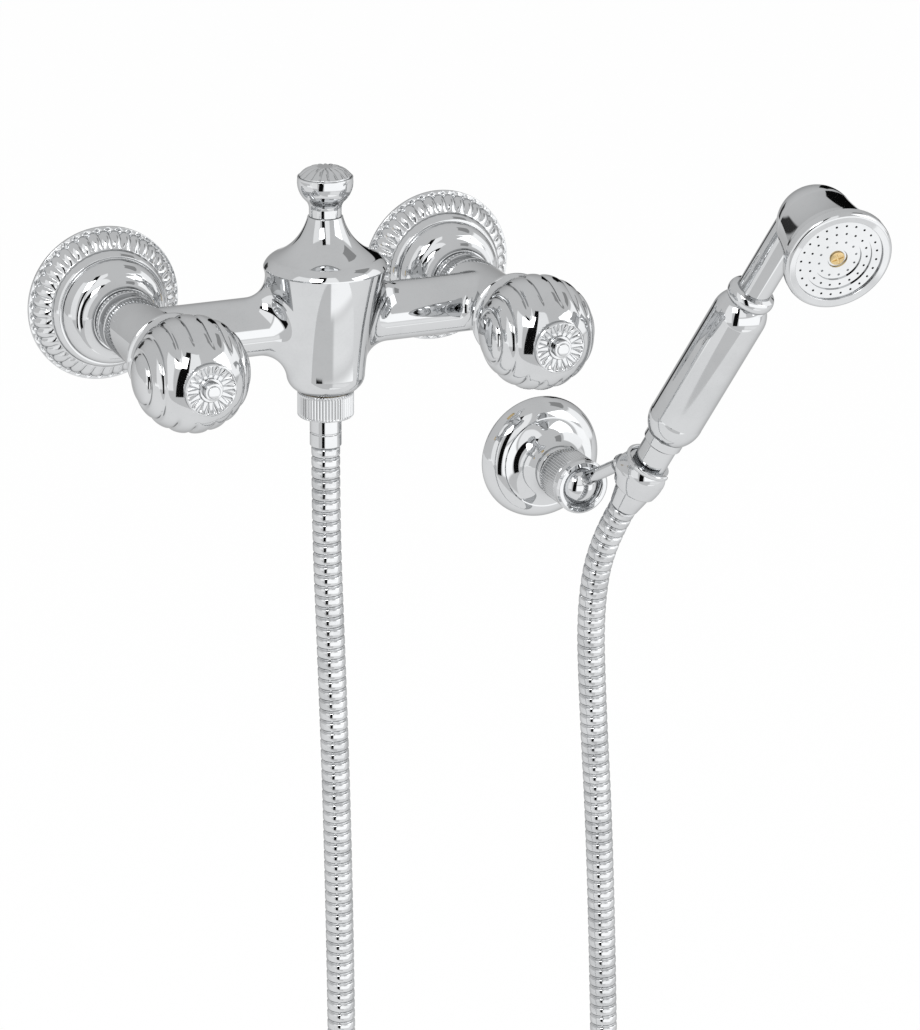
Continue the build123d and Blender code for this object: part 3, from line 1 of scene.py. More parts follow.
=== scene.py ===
"""A wall-mounted shower mixer with its hose, wall bracket and hand shower, dressed for a studio view.

Lengths in the classes are millimetres; every mesh is written in metres. The wall is the plane
y = 0, the room lies on the -y side and z points up.
"""
import json
import logging
from dataclasses import dataclass
from enum import Enum
from math import atan, atan2, ceil, cos, degrees, hypot, pi, radians, sin, sqrt, tan
from typing import Any, Callable, Iterable, Optional, Sequence

import bpy
import numpy as np
from mathutils import Matrix, Vector


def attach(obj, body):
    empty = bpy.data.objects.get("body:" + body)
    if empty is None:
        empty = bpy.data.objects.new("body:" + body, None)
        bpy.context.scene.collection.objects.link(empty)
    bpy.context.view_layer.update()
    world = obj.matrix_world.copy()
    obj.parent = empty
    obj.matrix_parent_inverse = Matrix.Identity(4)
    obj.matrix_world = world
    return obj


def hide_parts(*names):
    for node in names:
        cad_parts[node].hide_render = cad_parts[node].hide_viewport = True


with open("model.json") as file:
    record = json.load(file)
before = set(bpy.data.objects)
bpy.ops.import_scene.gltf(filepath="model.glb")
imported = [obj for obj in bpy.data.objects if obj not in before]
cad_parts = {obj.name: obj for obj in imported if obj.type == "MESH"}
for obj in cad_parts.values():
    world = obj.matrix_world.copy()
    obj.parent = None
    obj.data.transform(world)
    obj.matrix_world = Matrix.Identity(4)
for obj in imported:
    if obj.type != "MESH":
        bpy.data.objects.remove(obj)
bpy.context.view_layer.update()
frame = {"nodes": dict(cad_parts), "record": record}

log = logging.getLogger("mixer")

MM = 0.001
INLET_X = 75.0                # half the distance between the inlets
RISE = 8.0                    # the mixer's inlet line above the pipes in the wall
BODY_OUT = 61.0               # the bell's axis, out from the wall
ARM_OUT = 55.0                # the cross arms' axis, out from the wall
FINE_STEP = 1.6               # longest straight step of an outline
FINE_TURN = radians(9)        # largest turn between two rows of an outline
STRAIGHT = 1e-9               # bend or sweep up to which a run counts as straight
WELD_DIGITS = 3               # decimals in which two points agree that are one
Wave = Callable[[np.ndarray, np.ndarray, np.ndarray], np.ndarray]


class Slot(Enum):
    """The record's material slots."""

    CHROME = "chrome"
    HOSE = "hose_chrome"
    BRASS = "brass"
    STEEL = "steel"
    RUBBER = "rubber"
    PLASTIC = "white_plastic"
    CERAMIC = "ceramic"


Finishes = dict[Slot, bpy.types.Material]


# Places and outlines


def unit(vector: Sequence[float]) -> np.ndarray:
    """A vector divided by its own length."""
    given = np.array(vector, float)
    return given / np.linalg.norm(given)


@dataclass(frozen=True)
class Axes:
    """A piece's own axes in the object's frame, in millimetres.

    Args:
        origin: where the piece's own origin lies.
        x: direction of its own X.
        z: direction of its own Z, the axis that turned pieces are turned about.
    """

    origin: tuple[float, ...]
    x: tuple[float, ...]
    z: tuple[float, ...]

    def turn(self, vectors: np.ndarray) -> np.ndarray:
        """Directions from the piece's own axes into the object's."""
        x, z = unit(self.x), unit(self.z)
        return vectors @ np.stack([x, np.cross(z, x), z])

    def place(self, points: np.ndarray) -> np.ndarray:
        """Points from the piece's own axes into the object's."""
        return self.turn(points) + np.array(self.origin)

    def moved(self, x: float, y: float, z: float, turned: Optional[tuple[float, ...]] = None) -> "Axes":
        """Axes whose origin and Z are given in these axes.

        Args:
            x: the origin's place along X.
            y: the origin's place along Y.
            z: the origin's place along Z.
            turned: the new Z, or none to keep it.

        Returns:
            The axes, with this piece's Y as their X.
        """
        origin = self.place(np.array([x, y, z]))
        across = self.turn(np.array([0.0, 1.0, 0.0]))
        along = self.turn(unit(turned)) if turned else np.array(self.z)
        return Axes(tuple(origin), tuple(across), tuple(along))


def from_wall(x: float, z: float) -> Axes:
    """Axes on the wall whose own Z points straight out into the room."""
    return Axes((x, 0.0, z), (1.0, 0.0, 0.0), (0.0, -1.0, 0.0))


def inlet_axes(side: str) -> Axes:
    """Axes of what stands in front of the left or the right inlet."""
    return from_wall(-INLET_X if side == "left" else INLET_X, RISE)


UPRIGHT = Axes((0.0, -BODY_OUT, RISE), (1.0, 0.0, 0.0), (0.0, 0.0, 1.0))

# The bracket's axis on the wall, and how far out its ball's centre is
BRACKET_X, BRACKET_Z, BALL_OUT = 124.5, -84.3, 40.0

# The hand shower's axis leans to the right and out from the wall, and passes through the cradle
LEAN_RIGHT, LEAN_OUT = radians(17.4), radians(25.5)
LEAN = unit((tan(LEAN_RIGHT), -tan(LEAN_OUT), 1.0))
CRADLE_PLACE = (141.1, -78.0, -64.3)
FORWARD = unit(np.array([0.0, -1.0, 0.0]) - LEAN * -LEAN[1])
GRIP = Axes(CRADLE_PLACE, tuple(FORWARD), tuple(LEAN))

# The spray face in the grip's axes: its middle, the way it looks, how deep the dome's centre lies
FACE_PLACE = (40.0, 0.0, 145.5)
FACE_TURN = (25.9, 0.0, 2.6)
FACE_DEEP = hypot(FACE_TURN[0], FACE_TURN[2])
FACE = GRIP.moved(*FACE_PLACE, FACE_TURN)

# The cradle is turned about the grip's axis so that its slot lies on its own X
SLOT_TURN = radians(66.8)
CRADLE = Axes(CRADLE_PLACE, tuple(GRIP.turn(np.array([cos(SLOT_TURN), sin(SLOT_TURN), 0.0]))), tuple(LEAN))


@dataclass(frozen=True)
class Run:
    """One straight or evenly bent run of an outline: its start, heading, bend and length."""

    r: float
    z: float
    heading: float
    bend: float
    length: float

    def at(self, along: np.ndarray) -> tuple[np.ndarray, np.ndarray, np.ndarray]:
        """Radius, height and heading at distances along the run.

        The heading grows evenly with the distance, so the place is the start plus the integral
        of its cosine and sine.

        Args:
            along: distances from the run's start.

        Returns:
            Radius, height and heading at each distance.
        """
        heading = self.heading + self.bend * along
        if abs(self.bend) < STRAIGHT:
            return self.r + along * cos(self.heading), self.z + along * sin(self.heading), heading
        r = self.r + (np.sin(heading) - sin(self.heading)) / self.bend
        z = self.z + (cos(self.heading) - np.cos(heading)) / self.bend
        return r, z, heading

    def cut(self, start: float, end: float) -> "Run":
        """The stretch of this run between two distances."""
        r, z, heading = self.at(np.array(start))
        return Run(float(r), float(z), float(heading), self.bend, end - start)


def wrapped(angle: float) -> float:
    """An angle brought between minus and plus half a turn."""
    return (angle + pi) % (2 * pi) - pi


def arc_rise(radius: float, start: tuple[float, float], end: tuple[float, float]) -> float:
    """How far an arc of a radius stands off the straight line between its ends."""
    half = hypot(end[0] - start[0], end[1] - start[1]) / 2
    return radius - sqrt(radius ** 2 - half ** 2)


class Outline:
    """An outline of (radius, height) points with every corner rounded.

    The outside lies on the right of the way it is walked. A bulge is how far a run bows to the
    outside in its middle.
    """

    SHARPEST = 2.9                # radians that a corner is taken to turn at most
    LARGEST_TRIM = 0.45           # share of a run that one rounded corner may take
    SMALLEST_TURN = 0.02          # radians up to which a corner stays as it is

    def __init__(self, *steps: tuple[float, ...], corner: float = 0.2, closed: bool = False) -> None:
        """Join the steps into runs and round the corners.

        Args:
            steps: (radius, height), (radius, height, bulge) or (radius, height, bulge, corner).
            corner: radius of the corners that give none of their own.
            closed: whether the last point runs back to the first.
        """
        full = [tuple(step) + (0.0, corner)[len(step) - 2:] for step in steps]
        if closed:
            full.append(full[0])
        runs = [self._run(a, b) for a, b in zip(full, full[1:])]
        trims = []
        for number, (before, after) in enumerate(zip(runs, runs[1:])):
            turn = abs(wrapped(after.heading - before.heading - before.bend * before.length))
            reach = full[number + 1][3] * tan(min(turn, self.SHARPEST) / 2)
            room = self.LARGEST_TRIM * min(before.length, after.length)
            trims.append(min(reach, room) if turn > self.SMALLEST_TURN else 0.0)
        self.runs: list[Run] = []
        for number, run in enumerate(runs):
            start = trims[number - 1] if number else 0.0
            end = run.length - (trims[number] if number < len(trims) else 0.0)
            kept = run.cut(start, end)
            if number and start:
                self.runs.append(self._round(self.runs[-1], kept))
            self.runs.append(kept)
        self.marks = np.cumsum([0.0] + [run.length for run in self.runs])

    @staticmethod
    def _run(start: tuple[float, ...], end: tuple[float, ...]) -> Run:
        """A run between two points: an arc through its bulge, or a straight line.

        An arc that stands b off a chord c sweeps 4 arctan(2 b / c).

        Args:
            start: radius and height of the first point.
            end: radius, height and bulge of the second.

        Returns:
            The run.
        """
        chord = hypot(end[0] - start[0], end[1] - start[1])
        angle = atan2(end[1] - start[1], end[0] - start[0])
        sweep = 4 * atan(2 * end[2] / chord)
        length = chord if abs(sweep) < STRAIGHT else chord * (sweep / 2) / sin(sweep / 2)
        return Run(start[0], start[1], angle - sweep / 2, sweep / length, length)

    @staticmethod
    def _round(before: Run, after: Run) -> Run:
        """The small arc from the end of one run to the start of the next.

        Args:
            before: the run that the arc follows.
            after: the run that it leads into.

        Returns:
            The arc.
        """
        r, z, heading = (float(value) for value in before.at(np.array(before.length)))
        turn = wrapped(after.heading - heading)
        chord = hypot(after.r - r, after.z - z)
        length = chord * (turn / 2) / sin(turn / 2)
        return Run(r, z, heading, turn / length, length)

    def at(self, along: np.ndarray) -> tuple[np.ndarray, np.ndarray, np.ndarray]:
        """Radius, height and heading at distances along the whole outline.

        Args:
            along: distances from the outline's start.

        Returns:
            Radius, height and heading at each distance.
        """
        along = np.asarray(along, float)
        which = np.clip(np.searchsorted(self.marks, along, side="right") - 1, 0, len(self.runs) - 1)
        r, z, heading = (np.zeros_like(along) for _ in range(3))
        for number, run in enumerate(self.runs):
            here = which == number
            if here.any():
                r[here], z[here], heading[here] = run.at(along[here] - self.marks[number])
        return r, z, heading

    def rows(self, start: float = 0.0, end: float = 1e9, step: float = FINE_STEP) -> np.ndarray:
        """Distances at which the outline is cut into rows, every run's ends among them.

        Args:
            start: the first row's distance.
            end: the last row's, or the outline's end where that comes first.
            step: longest step along the outline.

        Returns:
            The distances in order.
        """
        found = [max(start, 0.0)]
        for run, mark in zip(self.runs, self.marks):
            pieces = max(1, ceil(run.length / step), ceil(abs(run.bend * run.length) / FINE_TURN))
            if run.bend:
                pieces = max(pieces, 2)
            found += list(mark + run.length * np.arange(1, pieces + 1) / pieces)
        rows = np.array(found)
        last = min(end, self.marks[-1])
        rows = rows[(rows > start + 1e-6) & (rows < last - 1e-6)]
        return np.concatenate([[start], rows, [last]])


# Meshes


class Shell:
    """Patches of surface, welded into one closed mesh with its own exact normals."""

    def __init__(self, name: str) -> None:
        """Start an empty shell for a piece of this name."""
        self.name = name
        self.patches: list[tuple[np.ndarray, np.ndarray]] = []

    def add(self, points: np.ndarray, normals: np.ndarray) -> "Shell":
        """Add one grid of points with the normal at each.

        Args:
            points: the grid, in millimetres.
            normals: a normal of any length at each point.

        Returns:
            The shell itself.
        """
        lengths = np.maximum(np.linalg.norm(normals, axis=-1, keepdims=True), 1e-9)
        self.patches.append((points, normals / lengths))
        return self

    def turned(self, outline: Outline, axes: Axes, columns: int, wave: Optional[Wave] = None,
               step: float = FINE_STEP) -> "Shell":
        """Turn an outline about the Z of its axes.

        A point at radius r, height z and angle p is (r cos p, r sin p, z). A wave moves it along
        its normal, and the normal leans back by the wave's slope along and round the surface.

        Args:
            outline: the outline to turn.
            axes: where the piece stands.
            columns: steps round the axis.
            wave: offset along the normal from radius, height and angle.
            step: longest step along the outline.

        Returns:
            The shell itself.
        """
        r, z, heading = outline.at(outline.rows(step=step))
        angle = np.linspace(0, 2 * pi, columns + 1)
        r, z, heading = (np.repeat(value[:, None], columns + 1, axis=1) for value in (r, z, heading))
        angle = np.repeat(angle[None, :], len(r), axis=0)
        return self.add(*waved(r, z, heading, angle, axes, wave))

    def mirrored(self) -> "Shell":
        """Add the mirror image of every patch across the plane x = 0.

        Returns:
            The shell itself.
        """
        flip = np.array([-1.0, 1.0, 1.0])
        self.patches += [(points * flip, normals * flip) for points, normals in self.patches]
        return self

    def piece(self, body: str, slot: Slot, finishes: Finishes, *nodes: str) -> bpy.types.Object:
        """Weld the patches into an object that rides on a body and stands for CAD nodes.

        Args:
            body: the CAD body that the piece moves with.
            slot: the record's slot for its finish.
            finishes: the finished materials by slot.
            nodes: the CAD nodes that it replaces.

        Returns:
            The linked object.
        """
        item = bpy.data.objects.new(self.name, self._mesh())
        bpy.context.scene.collection.objects.link(item)
        item.data.materials.append(finishes[slot])
        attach(item, body)
        if nodes:
            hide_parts(*nodes)
        log.info("%s: %d faces", self.name, len(item.data.polygons))
        return item

    def _mesh(self) -> bpy.types.Mesh:
        """Join equal points, close the poles with triangles and write the arrays into a mesh.

        A patch whose corners run against its normals is turned over. A joined point's normal is
        the mean of those that meet there.

        Returns:
            The mesh, in metres.
        """
        points, normals, quads = [], [], []
        count = 0
        for grid, facing in self.patches:
            rows, columns = grid.shape[:2]
            index = count + np.arange(rows * columns).reshape(rows, columns)
            count += rows * columns
            corners = np.stack([index[:-1, :-1], index[:-1, 1:], index[1:, 1:], index[1:, :-1]], -1)
            diagonals = np.cross(grid[1:, 1:] - grid[:-1, :-1], grid[1:, :-1] - grid[:-1, 1:])
            if np.sum(diagonals * (facing[1:, 1:] + facing[:-1, :-1])) < 0:
                corners = corners[..., ::-1]
            points.append(grid.reshape(-1, 3))
            normals.append(facing.reshape(-1, 3))
            quads.append(corners.reshape(-1, 4))
        every = np.concatenate(points)
        rounded = np.round(every, WELD_DIGITS)
        _, first, same = np.unique(rounded, axis=0, return_index=True, return_inverse=True)
        same = same.reshape(-1)
        facing = np.zeros((len(first), 3))
        np.add.at(facing, same, np.concatenate(normals))
        facing /= np.maximum(np.linalg.norm(facing, axis=1, keepdims=True), 1e-9)
        faces = same[np.concatenate(quads)]
        following = np.roll(faces, -1, axis=1)
        merged = faces == following
        whole = faces[merged.sum(1) == 0]
        whole = whole[(whole[:, 0] != whole[:, 2]) & (whole[:, 1] != whole[:, 3])]
        pinched = merged.sum(1) == 1
        corner = faces[pinched][~merged[pinched]].reshape(-1, 3)
        mesh = bpy.data.meshes.new(self.name)
        mesh.vertices.add(len(first))
        mesh.vertices.foreach_set("co", (every[first] * MM).ravel())
        loops = np.concatenate([whole.ravel(), corner.ravel()]).astype(np.int32)
        starts = np.concatenate([np.arange(len(whole)) * 4, len(whole) * 4 + np.arange(len(corner)) * 3])
        mesh.loops.add(len(loops))
        mesh.loops.foreach_set("vertex_index", loops)
        mesh.polygons.add(len(starts))
        mesh.polygons.foreach_set("loop_start", starts.astype(np.int32))
        mesh.polygons.foreach_set("use_smooth", np.ones(len(starts), bool))
        mesh.update(calc_edges=True)
        mesh.validate()
        mesh.normals_split_custom_set_from_vertices(facing.tolist())
        return mesh


def waved(r: np.ndarray, z: np.ndarray, heading: np.ndarray, angle: np.ndarray, axes: Axes,
          wave: Optional[Wave] = None) -> tuple[np.ndarray, np.ndarray]:
    """Points and normals of a turned surface whose points are moved along their normals.

    Args:
        r: radius of each grid point.
        z: height of each grid point.
        heading: heading of the outline there.
        angle: angle round the axis.
        axes: where the piece stands.
        wave: offset along the normal, or none.

    Returns:
        The points and the normals in the object's frame.
    """
    side = np.stack([np.cos(angle), np.sin(angle), np.zeros_like(angle)], -1)
    round_way = np.stack([-np.sin(angle), np.cos(angle), np.zeros_like(angle)], -1)
    up = np.array([0.0, 0.0, 1.0])
    normal = side * np.sin(heading)[..., None] - up * np.cos(heading)[..., None]
    points = side * r[..., None] + up * z[..., None]
    if wave is not None:
        tiny, least_r = 0.01, 0.3
        along = side * np.cos(heading)[..., None] + up * np.sin(heading)[..., None]
        ahead = wave(r + tiny * np.cos(heading), z + tiny * np.sin(heading), angle)
        behind = wave(r - tiny * np.cos(heading), z - tiny * np.sin(heading), angle)
        spread = tiny / np.maximum(r, least_r)
        slope_round = (wave(r, z, angle + spread) - wave(r, z, angle - spread)) / (2 * tiny)
        points = points + normal * wave(r, z, angle)[..., None]
        normal = normal - along * ((ahead - behind) / (2 * tiny))[..., None]
        normal = normal - round_way * slope_round[..., None]
    return axes.place(points), axes.turn(normal)


def smooth(value: np.ndarray, low: float, high: float) -> np.ndarray:
    """A soft step: 3t^2 - 2t^3 of the share between two values."""
    share = np.clip((value - low) / (high - low), 0.0, 1.0)
    return share * share * (3 - 2 * share)


def band(value: np.ndarray, low: float, rise: float, fall: float, high: float) -> np.ndarray:
    """A soft band: a soft step up between the first two values and down between the last two."""
    return smooth(value, low, rise) * (1 - smooth(value, fall, high))


def lobes(angle: np.ndarray, count: int, power: float) -> np.ndarray:
    """Round lobes with sharp valleys: |cos(n p / 2)| to a power, less one."""
    return np.abs(np.cos(count * angle / 2)) ** power - 1.0


def turned_piece(name: str, node: str, outline: Outline, axes: Axes, columns: int, finishes: Finishes,
                 wave: Optional[Wave] = None, step: float = FINE_STEP, body: str = "wall_body") -> None:
    """Turn an outline into a chrome piece that stands for a CAD node.

    Args:
        name: the piece's name.
        node: the CAD node that it replaces.
        outline: the outline to turn.
        axes: where the piece stands.
        columns: steps round the axis.
        finishes: the finished materials by slot.
        wave: offset along the normal from radius, height and angle.
        step: longest step along the outline.
        body: the CAD body that it moves with.
    """
    Shell(name).turned(outline, axes, columns, wave, step).piece(body, Slot.CHROME, finishes, node)


# Mixer


@dataclass
class MixerBody:
    """Bell, cross arms and legs in one casting, with the arms running softly into both."""

    arm_r: float = 12.2
    leg_r: float = 13.0
    leg_fillet: float = 5.0
    leg_shrink: float = 1.2       # how much smaller the leg's fillet is on the wall's side
    bell_fillet: float = 12.0
    bell_shrink: float = 3.2      # how much smaller the bell's fillet is at the top
    steps: int = 26               # points in each quarter of an arm's girth
    arm_rows: int = 8
    blend_rows: int = 12
    edge_rows: int = 12           # between the edge of a hole and the first whole ring
    bell_columns: int = 12        # between the arm's blend and the middle plane
    leg_columns: int = 16         # round half of a leg, past the arm's blend
    trace: int = 5000             # points in which the bell's outline is searched
    reach: tuple[float, float] = (5.0, 60.0)    # between which the rolled ball's x is searched
    halvings: int = 34

    def bell(self) -> Outline:
        """The bell's outline from its chamber's roof, round the foot and rim, to the stud's hole."""
        return Outline(
            (0, 22), (9, 22), (9, -20.5), (8.45, -20.5), (8.45, -28.5), (11.2, -28.5, 0, 0.4),
            (16.2, -21.5, 1.4, 0.1), (25.4, 24.0, -1.33, 0.35), (25.4, 24.6, 0, 0.35),
            (21.4, 28.6, 0.6, 0.5), (7.2, 45.5, -2.6, 0.3), (4.05, 45.5), (4.05, 36.5), (0, 36.5))

    def leg(self) -> Outline:
        """A leg's outline from its bore's back end, round the outside, and back through the bore."""
        return Outline(
            (6.5, 27), (9.3, 27), (9.3, 29), (8.2, 29), (8.2, 38), (12.2, 38), (13, 38.8), (13, 72.5),
            (12.2, 74, 0, 0.4), (9.1, 74), (9.1, 48), (6.5, 48), (6.5, 27.001))

    def girth(self, angle: np.ndarray) -> np.ndarray:
        """Directions round an arm, from straight up towards the front: (0, -sin t, cos t)."""
        return np.stack([np.zeros_like(angle), -np.sin(angle), np.cos(angle)], -1)

    def bell_blend(self, angle: np.ndarray) -> tuple[np.ndarray, ...]:
        """Where a ball rolled between bell and arm has its centre and touches the bell.

        The ball's radius shrinks towards the top, where the rim leaves less room. Its centre lies
        arm radius + ball radius from the arm's axis, and x is halved down to where its distance
        from the bell's outline, in the plane through the bell's axis, is the ball's radius.

        Args:
            angle: angles round the arm, from straight up towards the front.

        Returns:
            Centres, radii, touching points, their angle round the bell and distance along it.
        """
        ball = self.bell_fillet - self.bell_shrink * ((1 + np.cos(angle)) / 2) ** 4
        off = self.girth(angle) * (self.arm_r + ball)[:, None]
        bell = self.bell()
        marks = np.linspace(0, bell.marks[-1], self.trace)
        r, z, _ = bell.at(marks)
        outside = (r > 11.0) & (z > -27.5) & (z < 24.05)
        r, z, marks = r[outside], z[outside], marks[outside]
        low, high = (np.full(len(angle), end) for end in self.reach)
        for _ in range(self.halvings):
            x = (low + high) / 2
            span = np.hypot(x, BODY_OUT - ARM_OUT + off[:, 1])
            gap = np.hypot(span[:, None] - r, off[:, 2][:, None] - z).min(1)
            low, high = np.where(gap < ball, x, low), np.where(gap < ball, high, x)
        span = np.hypot(x, BODY_OUT - ARM_OUT + off[:, 1])
        nearest = np.hypot(span[:, None] - r, off[:, 2][:, None] - z).argmin(1)
        centre = np.stack([x, off[:, 1] - ARM_OUT, off[:, 2] + RISE], -1)
        turn = np.arctan2(-(centre[:, 1] + BODY_OUT), x)
        touch = np.stack([r[nearest] * np.cos(turn), -BODY_OUT - r[nearest] * np.sin(turn),
                          z[nearest] + RISE], -1)
        return centre, ball, touch, turn, marks[nearest]

    def leg_blend(self, angle: np.ndarray) -> tuple[np.ndarray, ...]:
        """The same between arm and leg, where both are round and the ball's place is exact.

        Args:
            angle: angles round the arm, from straight up towards the front.

        Returns:
            Centres, radii, touching points, their angle round the leg and distance from the wall.
        """
        ball = self.leg_fillet - self.leg_shrink * ((1 - np.sin(angle)) / 2) ** 2
        off = self.girth(angle) * (self.arm_r + ball)[:, None]
        x = INLET_X - np.sqrt((self.leg_r + ball) ** 2 - off[:, 2] ** 2)
        centre = np.stack([x, off[:, 1] - ARM_OUT, off[:, 2] + RISE], -1)
        turn = np.arctan2(off[:, 2], INLET_X - x)
        touch = np.stack([INLET_X - self.leg_r * np.cos(turn), centre[:, 1],
                          RISE + self.leg_r * np.sin(turn)], -1)
        return centre, ball, touch, turn, ARM_OUT - off[:, 1]

    def chains(self) -> np.ndarray:
        """Angles round the arm: even steps between the top, the front-most, lowest and back-most.

        Returns:
            The angles, from the top round to the top again.
        """
        trial = np.linspace(0, 2 * pi, 361)
        turn = self.bell_blend(trial)[3]
        keys = [0.0, float(trial[turn.argmax()]), pi, float(trial[turn.argmin()]), 2 * pi]
        parts = [np.linspace(a, b, self.steps + 1)[:-1] for a, b in zip(keys, keys[1:])]
        return np.concatenate([*parts, [2 * pi]])

    def rolled(self, centre: np.ndarray, first: np.ndarray, last: np.ndarray) -> tuple[np.ndarray, ...]:
        """The hollow surface under the rolled ball, from one touching point to the other.

        Each row turns the ball's spoke evenly from the first point to the last, and the surface
        faces the ball's centre.

        Args:
            centre: the ball's centres.
            first: where it touches the one surface.
            last: where it touches the other.

        Returns:
            Points and normals.
        """
        start, end = first - centre, last - centre
        size = np.linalg.norm(start, axis=1)[:, None], np.linalg.norm(end, axis=1)[:, None]
        start, end = start / size[0], end / size[1]
        sweep = np.arccos(np.clip(np.sum(start * end, axis=1), -1, 1))[:, None]
        rows = []
        for share in np.linspace(0, 1, self.blend_rows + 1):
            spoke = (start * np.sin((1 - share) * sweep) + end * np.sin(share * sweep)) / np.sin(sweep)
            rows.append((centre + spoke * (size[0] + share * (size[1] - size[0])), -spoke))
        points, normals = zip(*rows)
        return np.stack(points), np.stack(normals)

    def pierced(self, outline: Outline, turns: np.ndarray, edge: np.ndarray, anchor: float,
                last: float) -> tuple[np.ndarray, ...]:
        """One side of a turned surface, from the edge of its hole to the end of its outline.

        The first rows share the way from the edge, which differs from column to column, to the
        anchor. The rest are whole rings.

        Args:
            outline: the outline that is turned.
            turns: the angle of each column.
            edge: distance along the outline at which each column starts.
            anchor: distance from which the rows are whole rings.
            last: the end of this side.

        Returns:
            Radius, height, heading and angle of each grid point.
        """
        share = np.linspace(0, 1, self.edge_rows + 1)[:, None]
        near = edge[None, :] + share * (anchor - edge[None, :])
        if last > anchor:
            far = outline.rows(anchor, last)[1:]
        else:
            far = outline.rows(last, anchor)[::-1][1:]
        marks = np.concatenate([near, np.repeat(far[:, None], len(turns), axis=1)])
        r, z, heading = outline.at(marks)
        return r, z, heading, np.repeat(turns[None, :], len(marks), axis=0)

    def dress(self, finishes: Finishes) -> None:
        """Build the right half from bell, blend, arm, blend and leg, and mirror it.

        Args:
            finishes: the finished materials by slot.
        """
        shell = Shell("body_casting")
        angle = self.chains()
        key = self.steps
        centre, _, touch, turn, mark = self.bell_blend(angle)
        leg_centre, _, leg_touch, leg_turn, leg_out = self.leg_blend(angle)
        ring = self.girth(angle) * self.arm_r + np.array([0.0, -ARM_OUT, RISE])
        inner = ring + np.stack([centre[:, 0], 0 * angle, 0 * angle], -1)
        outer = ring + np.stack([leg_centre[:, 0], 0 * angle, 0 * angle], -1)
        shell.add(*self.rolled(centre, touch, inner))
        shell.add(*self.rolled(leg_centre, leg_touch, outer))
        share = np.linspace(0, 1, self.arm_rows + 1)[:, None, None]
        facing = np.repeat(self.girth(angle)[None], self.arm_rows + 1, axis=0)
        shell.add(inner[None] + share * (outer - inner)[None], facing)

        bell = self.bell()
        front, back = key, 3 * key
        outside_front = np.linspace(turn[front], pi / 2, self.bell_columns + 1)[1:]
        outside_back = np.linspace(-pi / 2, turn[back], self.bell_columns + 1)[:-1]
        upper = np.concatenate([np.arange(back, 4 * key), np.arange(0, front + 1)])
        lower = np.arange(back, front - 1, -1)
        rim, foot = self._mark_at(bell, 25.0, 23.95), self._mark_at(bell, 13.0, -26.5)
        for chain, anchor, last in ((upper, rim, bell.marks[-1]), (lower, foot, 0.0)):
            turns = np.concatenate([outside_back, turn[chain], outside_front])
            edge = np.concatenate([np.full(len(outside_back), mark[back]), mark[chain],
                                   np.full(len(outside_front), mark[front])])
            r, z, heading, turns = self.pierced(bell, turns, edge, anchor, last)
            side = np.stack([np.cos(turns), -np.sin(turns)], -1)
            points = np.concatenate([side * r[..., None], (z + RISE)[..., None]], -1)
            points[..., 1] -= BODY_OUT
            normals = np.concatenate([side * np.sin(heading)[..., None], -np.cos(heading)[..., None]], -1)
            shell.add(points, normals)

        leg = self.leg()
        near, level, far = (self._mark_at(leg, self.leg_r, out) for out in (39.0, ARM_OUT, 72.3))
        for chain, anchor, last in ((np.arange(2 * key, -1, -1), far, leg.marks[-1]),
                                    (np.arange(2 * key, 4 * key + 1), near, 0.0)):
            spare = np.linspace(leg_turn[0], pi, self.leg_columns + 1)[1:]
            turns = np.concatenate([-spare[::-1], leg_turn[chain], spare])
            edge = level + np.concatenate([0 * spare, leg_out[chain] - ARM_OUT, 0 * spare])
            r, z, heading, turns = self.pierced(leg, turns, edge, anchor, last)
            points = np.stack([INLET_X - r * np.cos(turns), -z, RISE + r * np.sin(turns)], -1)
            normals = np.stack([-np.sin(heading) * np.cos(turns), np.cos(heading),
                                np.sin(heading) * np.sin(turns)], -1)
            shell.add(points, normals)
        shell.mirrored().piece("wall_body", Slot.CHROME, finishes, "mixer_body")

    @staticmethod
    def _mark_at(outline: Outline, r: float, z: float) -> float:
        """The distance along an outline of its point nearest to a given one.

        Args:
            outline: the outline that is searched.
            r: the given point's radius.
            z: the given point's height.

        Returns:
            The distance from the outline's start.
        """
        marks = np.linspace(0, outline.marks[-1], 20000)
        found_r, found_z, _ = outline.at(marks)
        return float(marks[np.hypot(found_r - r, found_z - z).argmin()])


@dataclass
class Finial:
    """The turned knob on the bell with its fluted cap."""

    flutes: int = 16
    flute_deep: float = 0.85
    flute_band: tuple[float, ...] = (2.6, 5.2, 10.0, 10.9)      # radii where flutes rise and end
    cap_foot: float = 61.4
    cap_top: float = 66.2

    def wave(self, r: np.ndarray, z: np.ndarray, angle: np.ndarray) -> np.ndarray:
        """Lobes that run out from the flat middle to the rim and grow deeper on the way."""
        across = band(r, *self.flute_band) * (z > self.cap_foot + 0.5)
        return self.flute_deep * lobes(angle, self.flutes, 0.7) * across

    def dress(self, finishes: Finishes) -> None:
        """Build the knob and its cap.

        Args:
            finishes: the finished materials by slot.
        """
        knob = Outline(
            (0, 37.5), (4, 37.5), (4, 45.5), (6.65, 45.5, 0, 0.3), (6.65, 48.9, 0, 0.3),
            (8.45, 52.5, -0.4, 0.5), (11.4, 61.3, 1.1, 0.3), (11.4, 62.2, 0, 0.25), (10.75, 62.2),
            (10.75, 61.4), (0, 61.4))
        turned_piece("finial_knob", "finial", knob, UPRIGHT, 96, finishes)
        cap = Outline(
            (0, self.cap_foot), (10.7, self.cap_foot), (10.7, 62.7, 0, 0.5), (3.4, self.cap_top, 0.9, 1.0),
            (0, self.cap_top))
        turned_piece("finial_crown", "finial_cap", cap, UPRIGHT, 288, finishes, self.wave, 0.6)


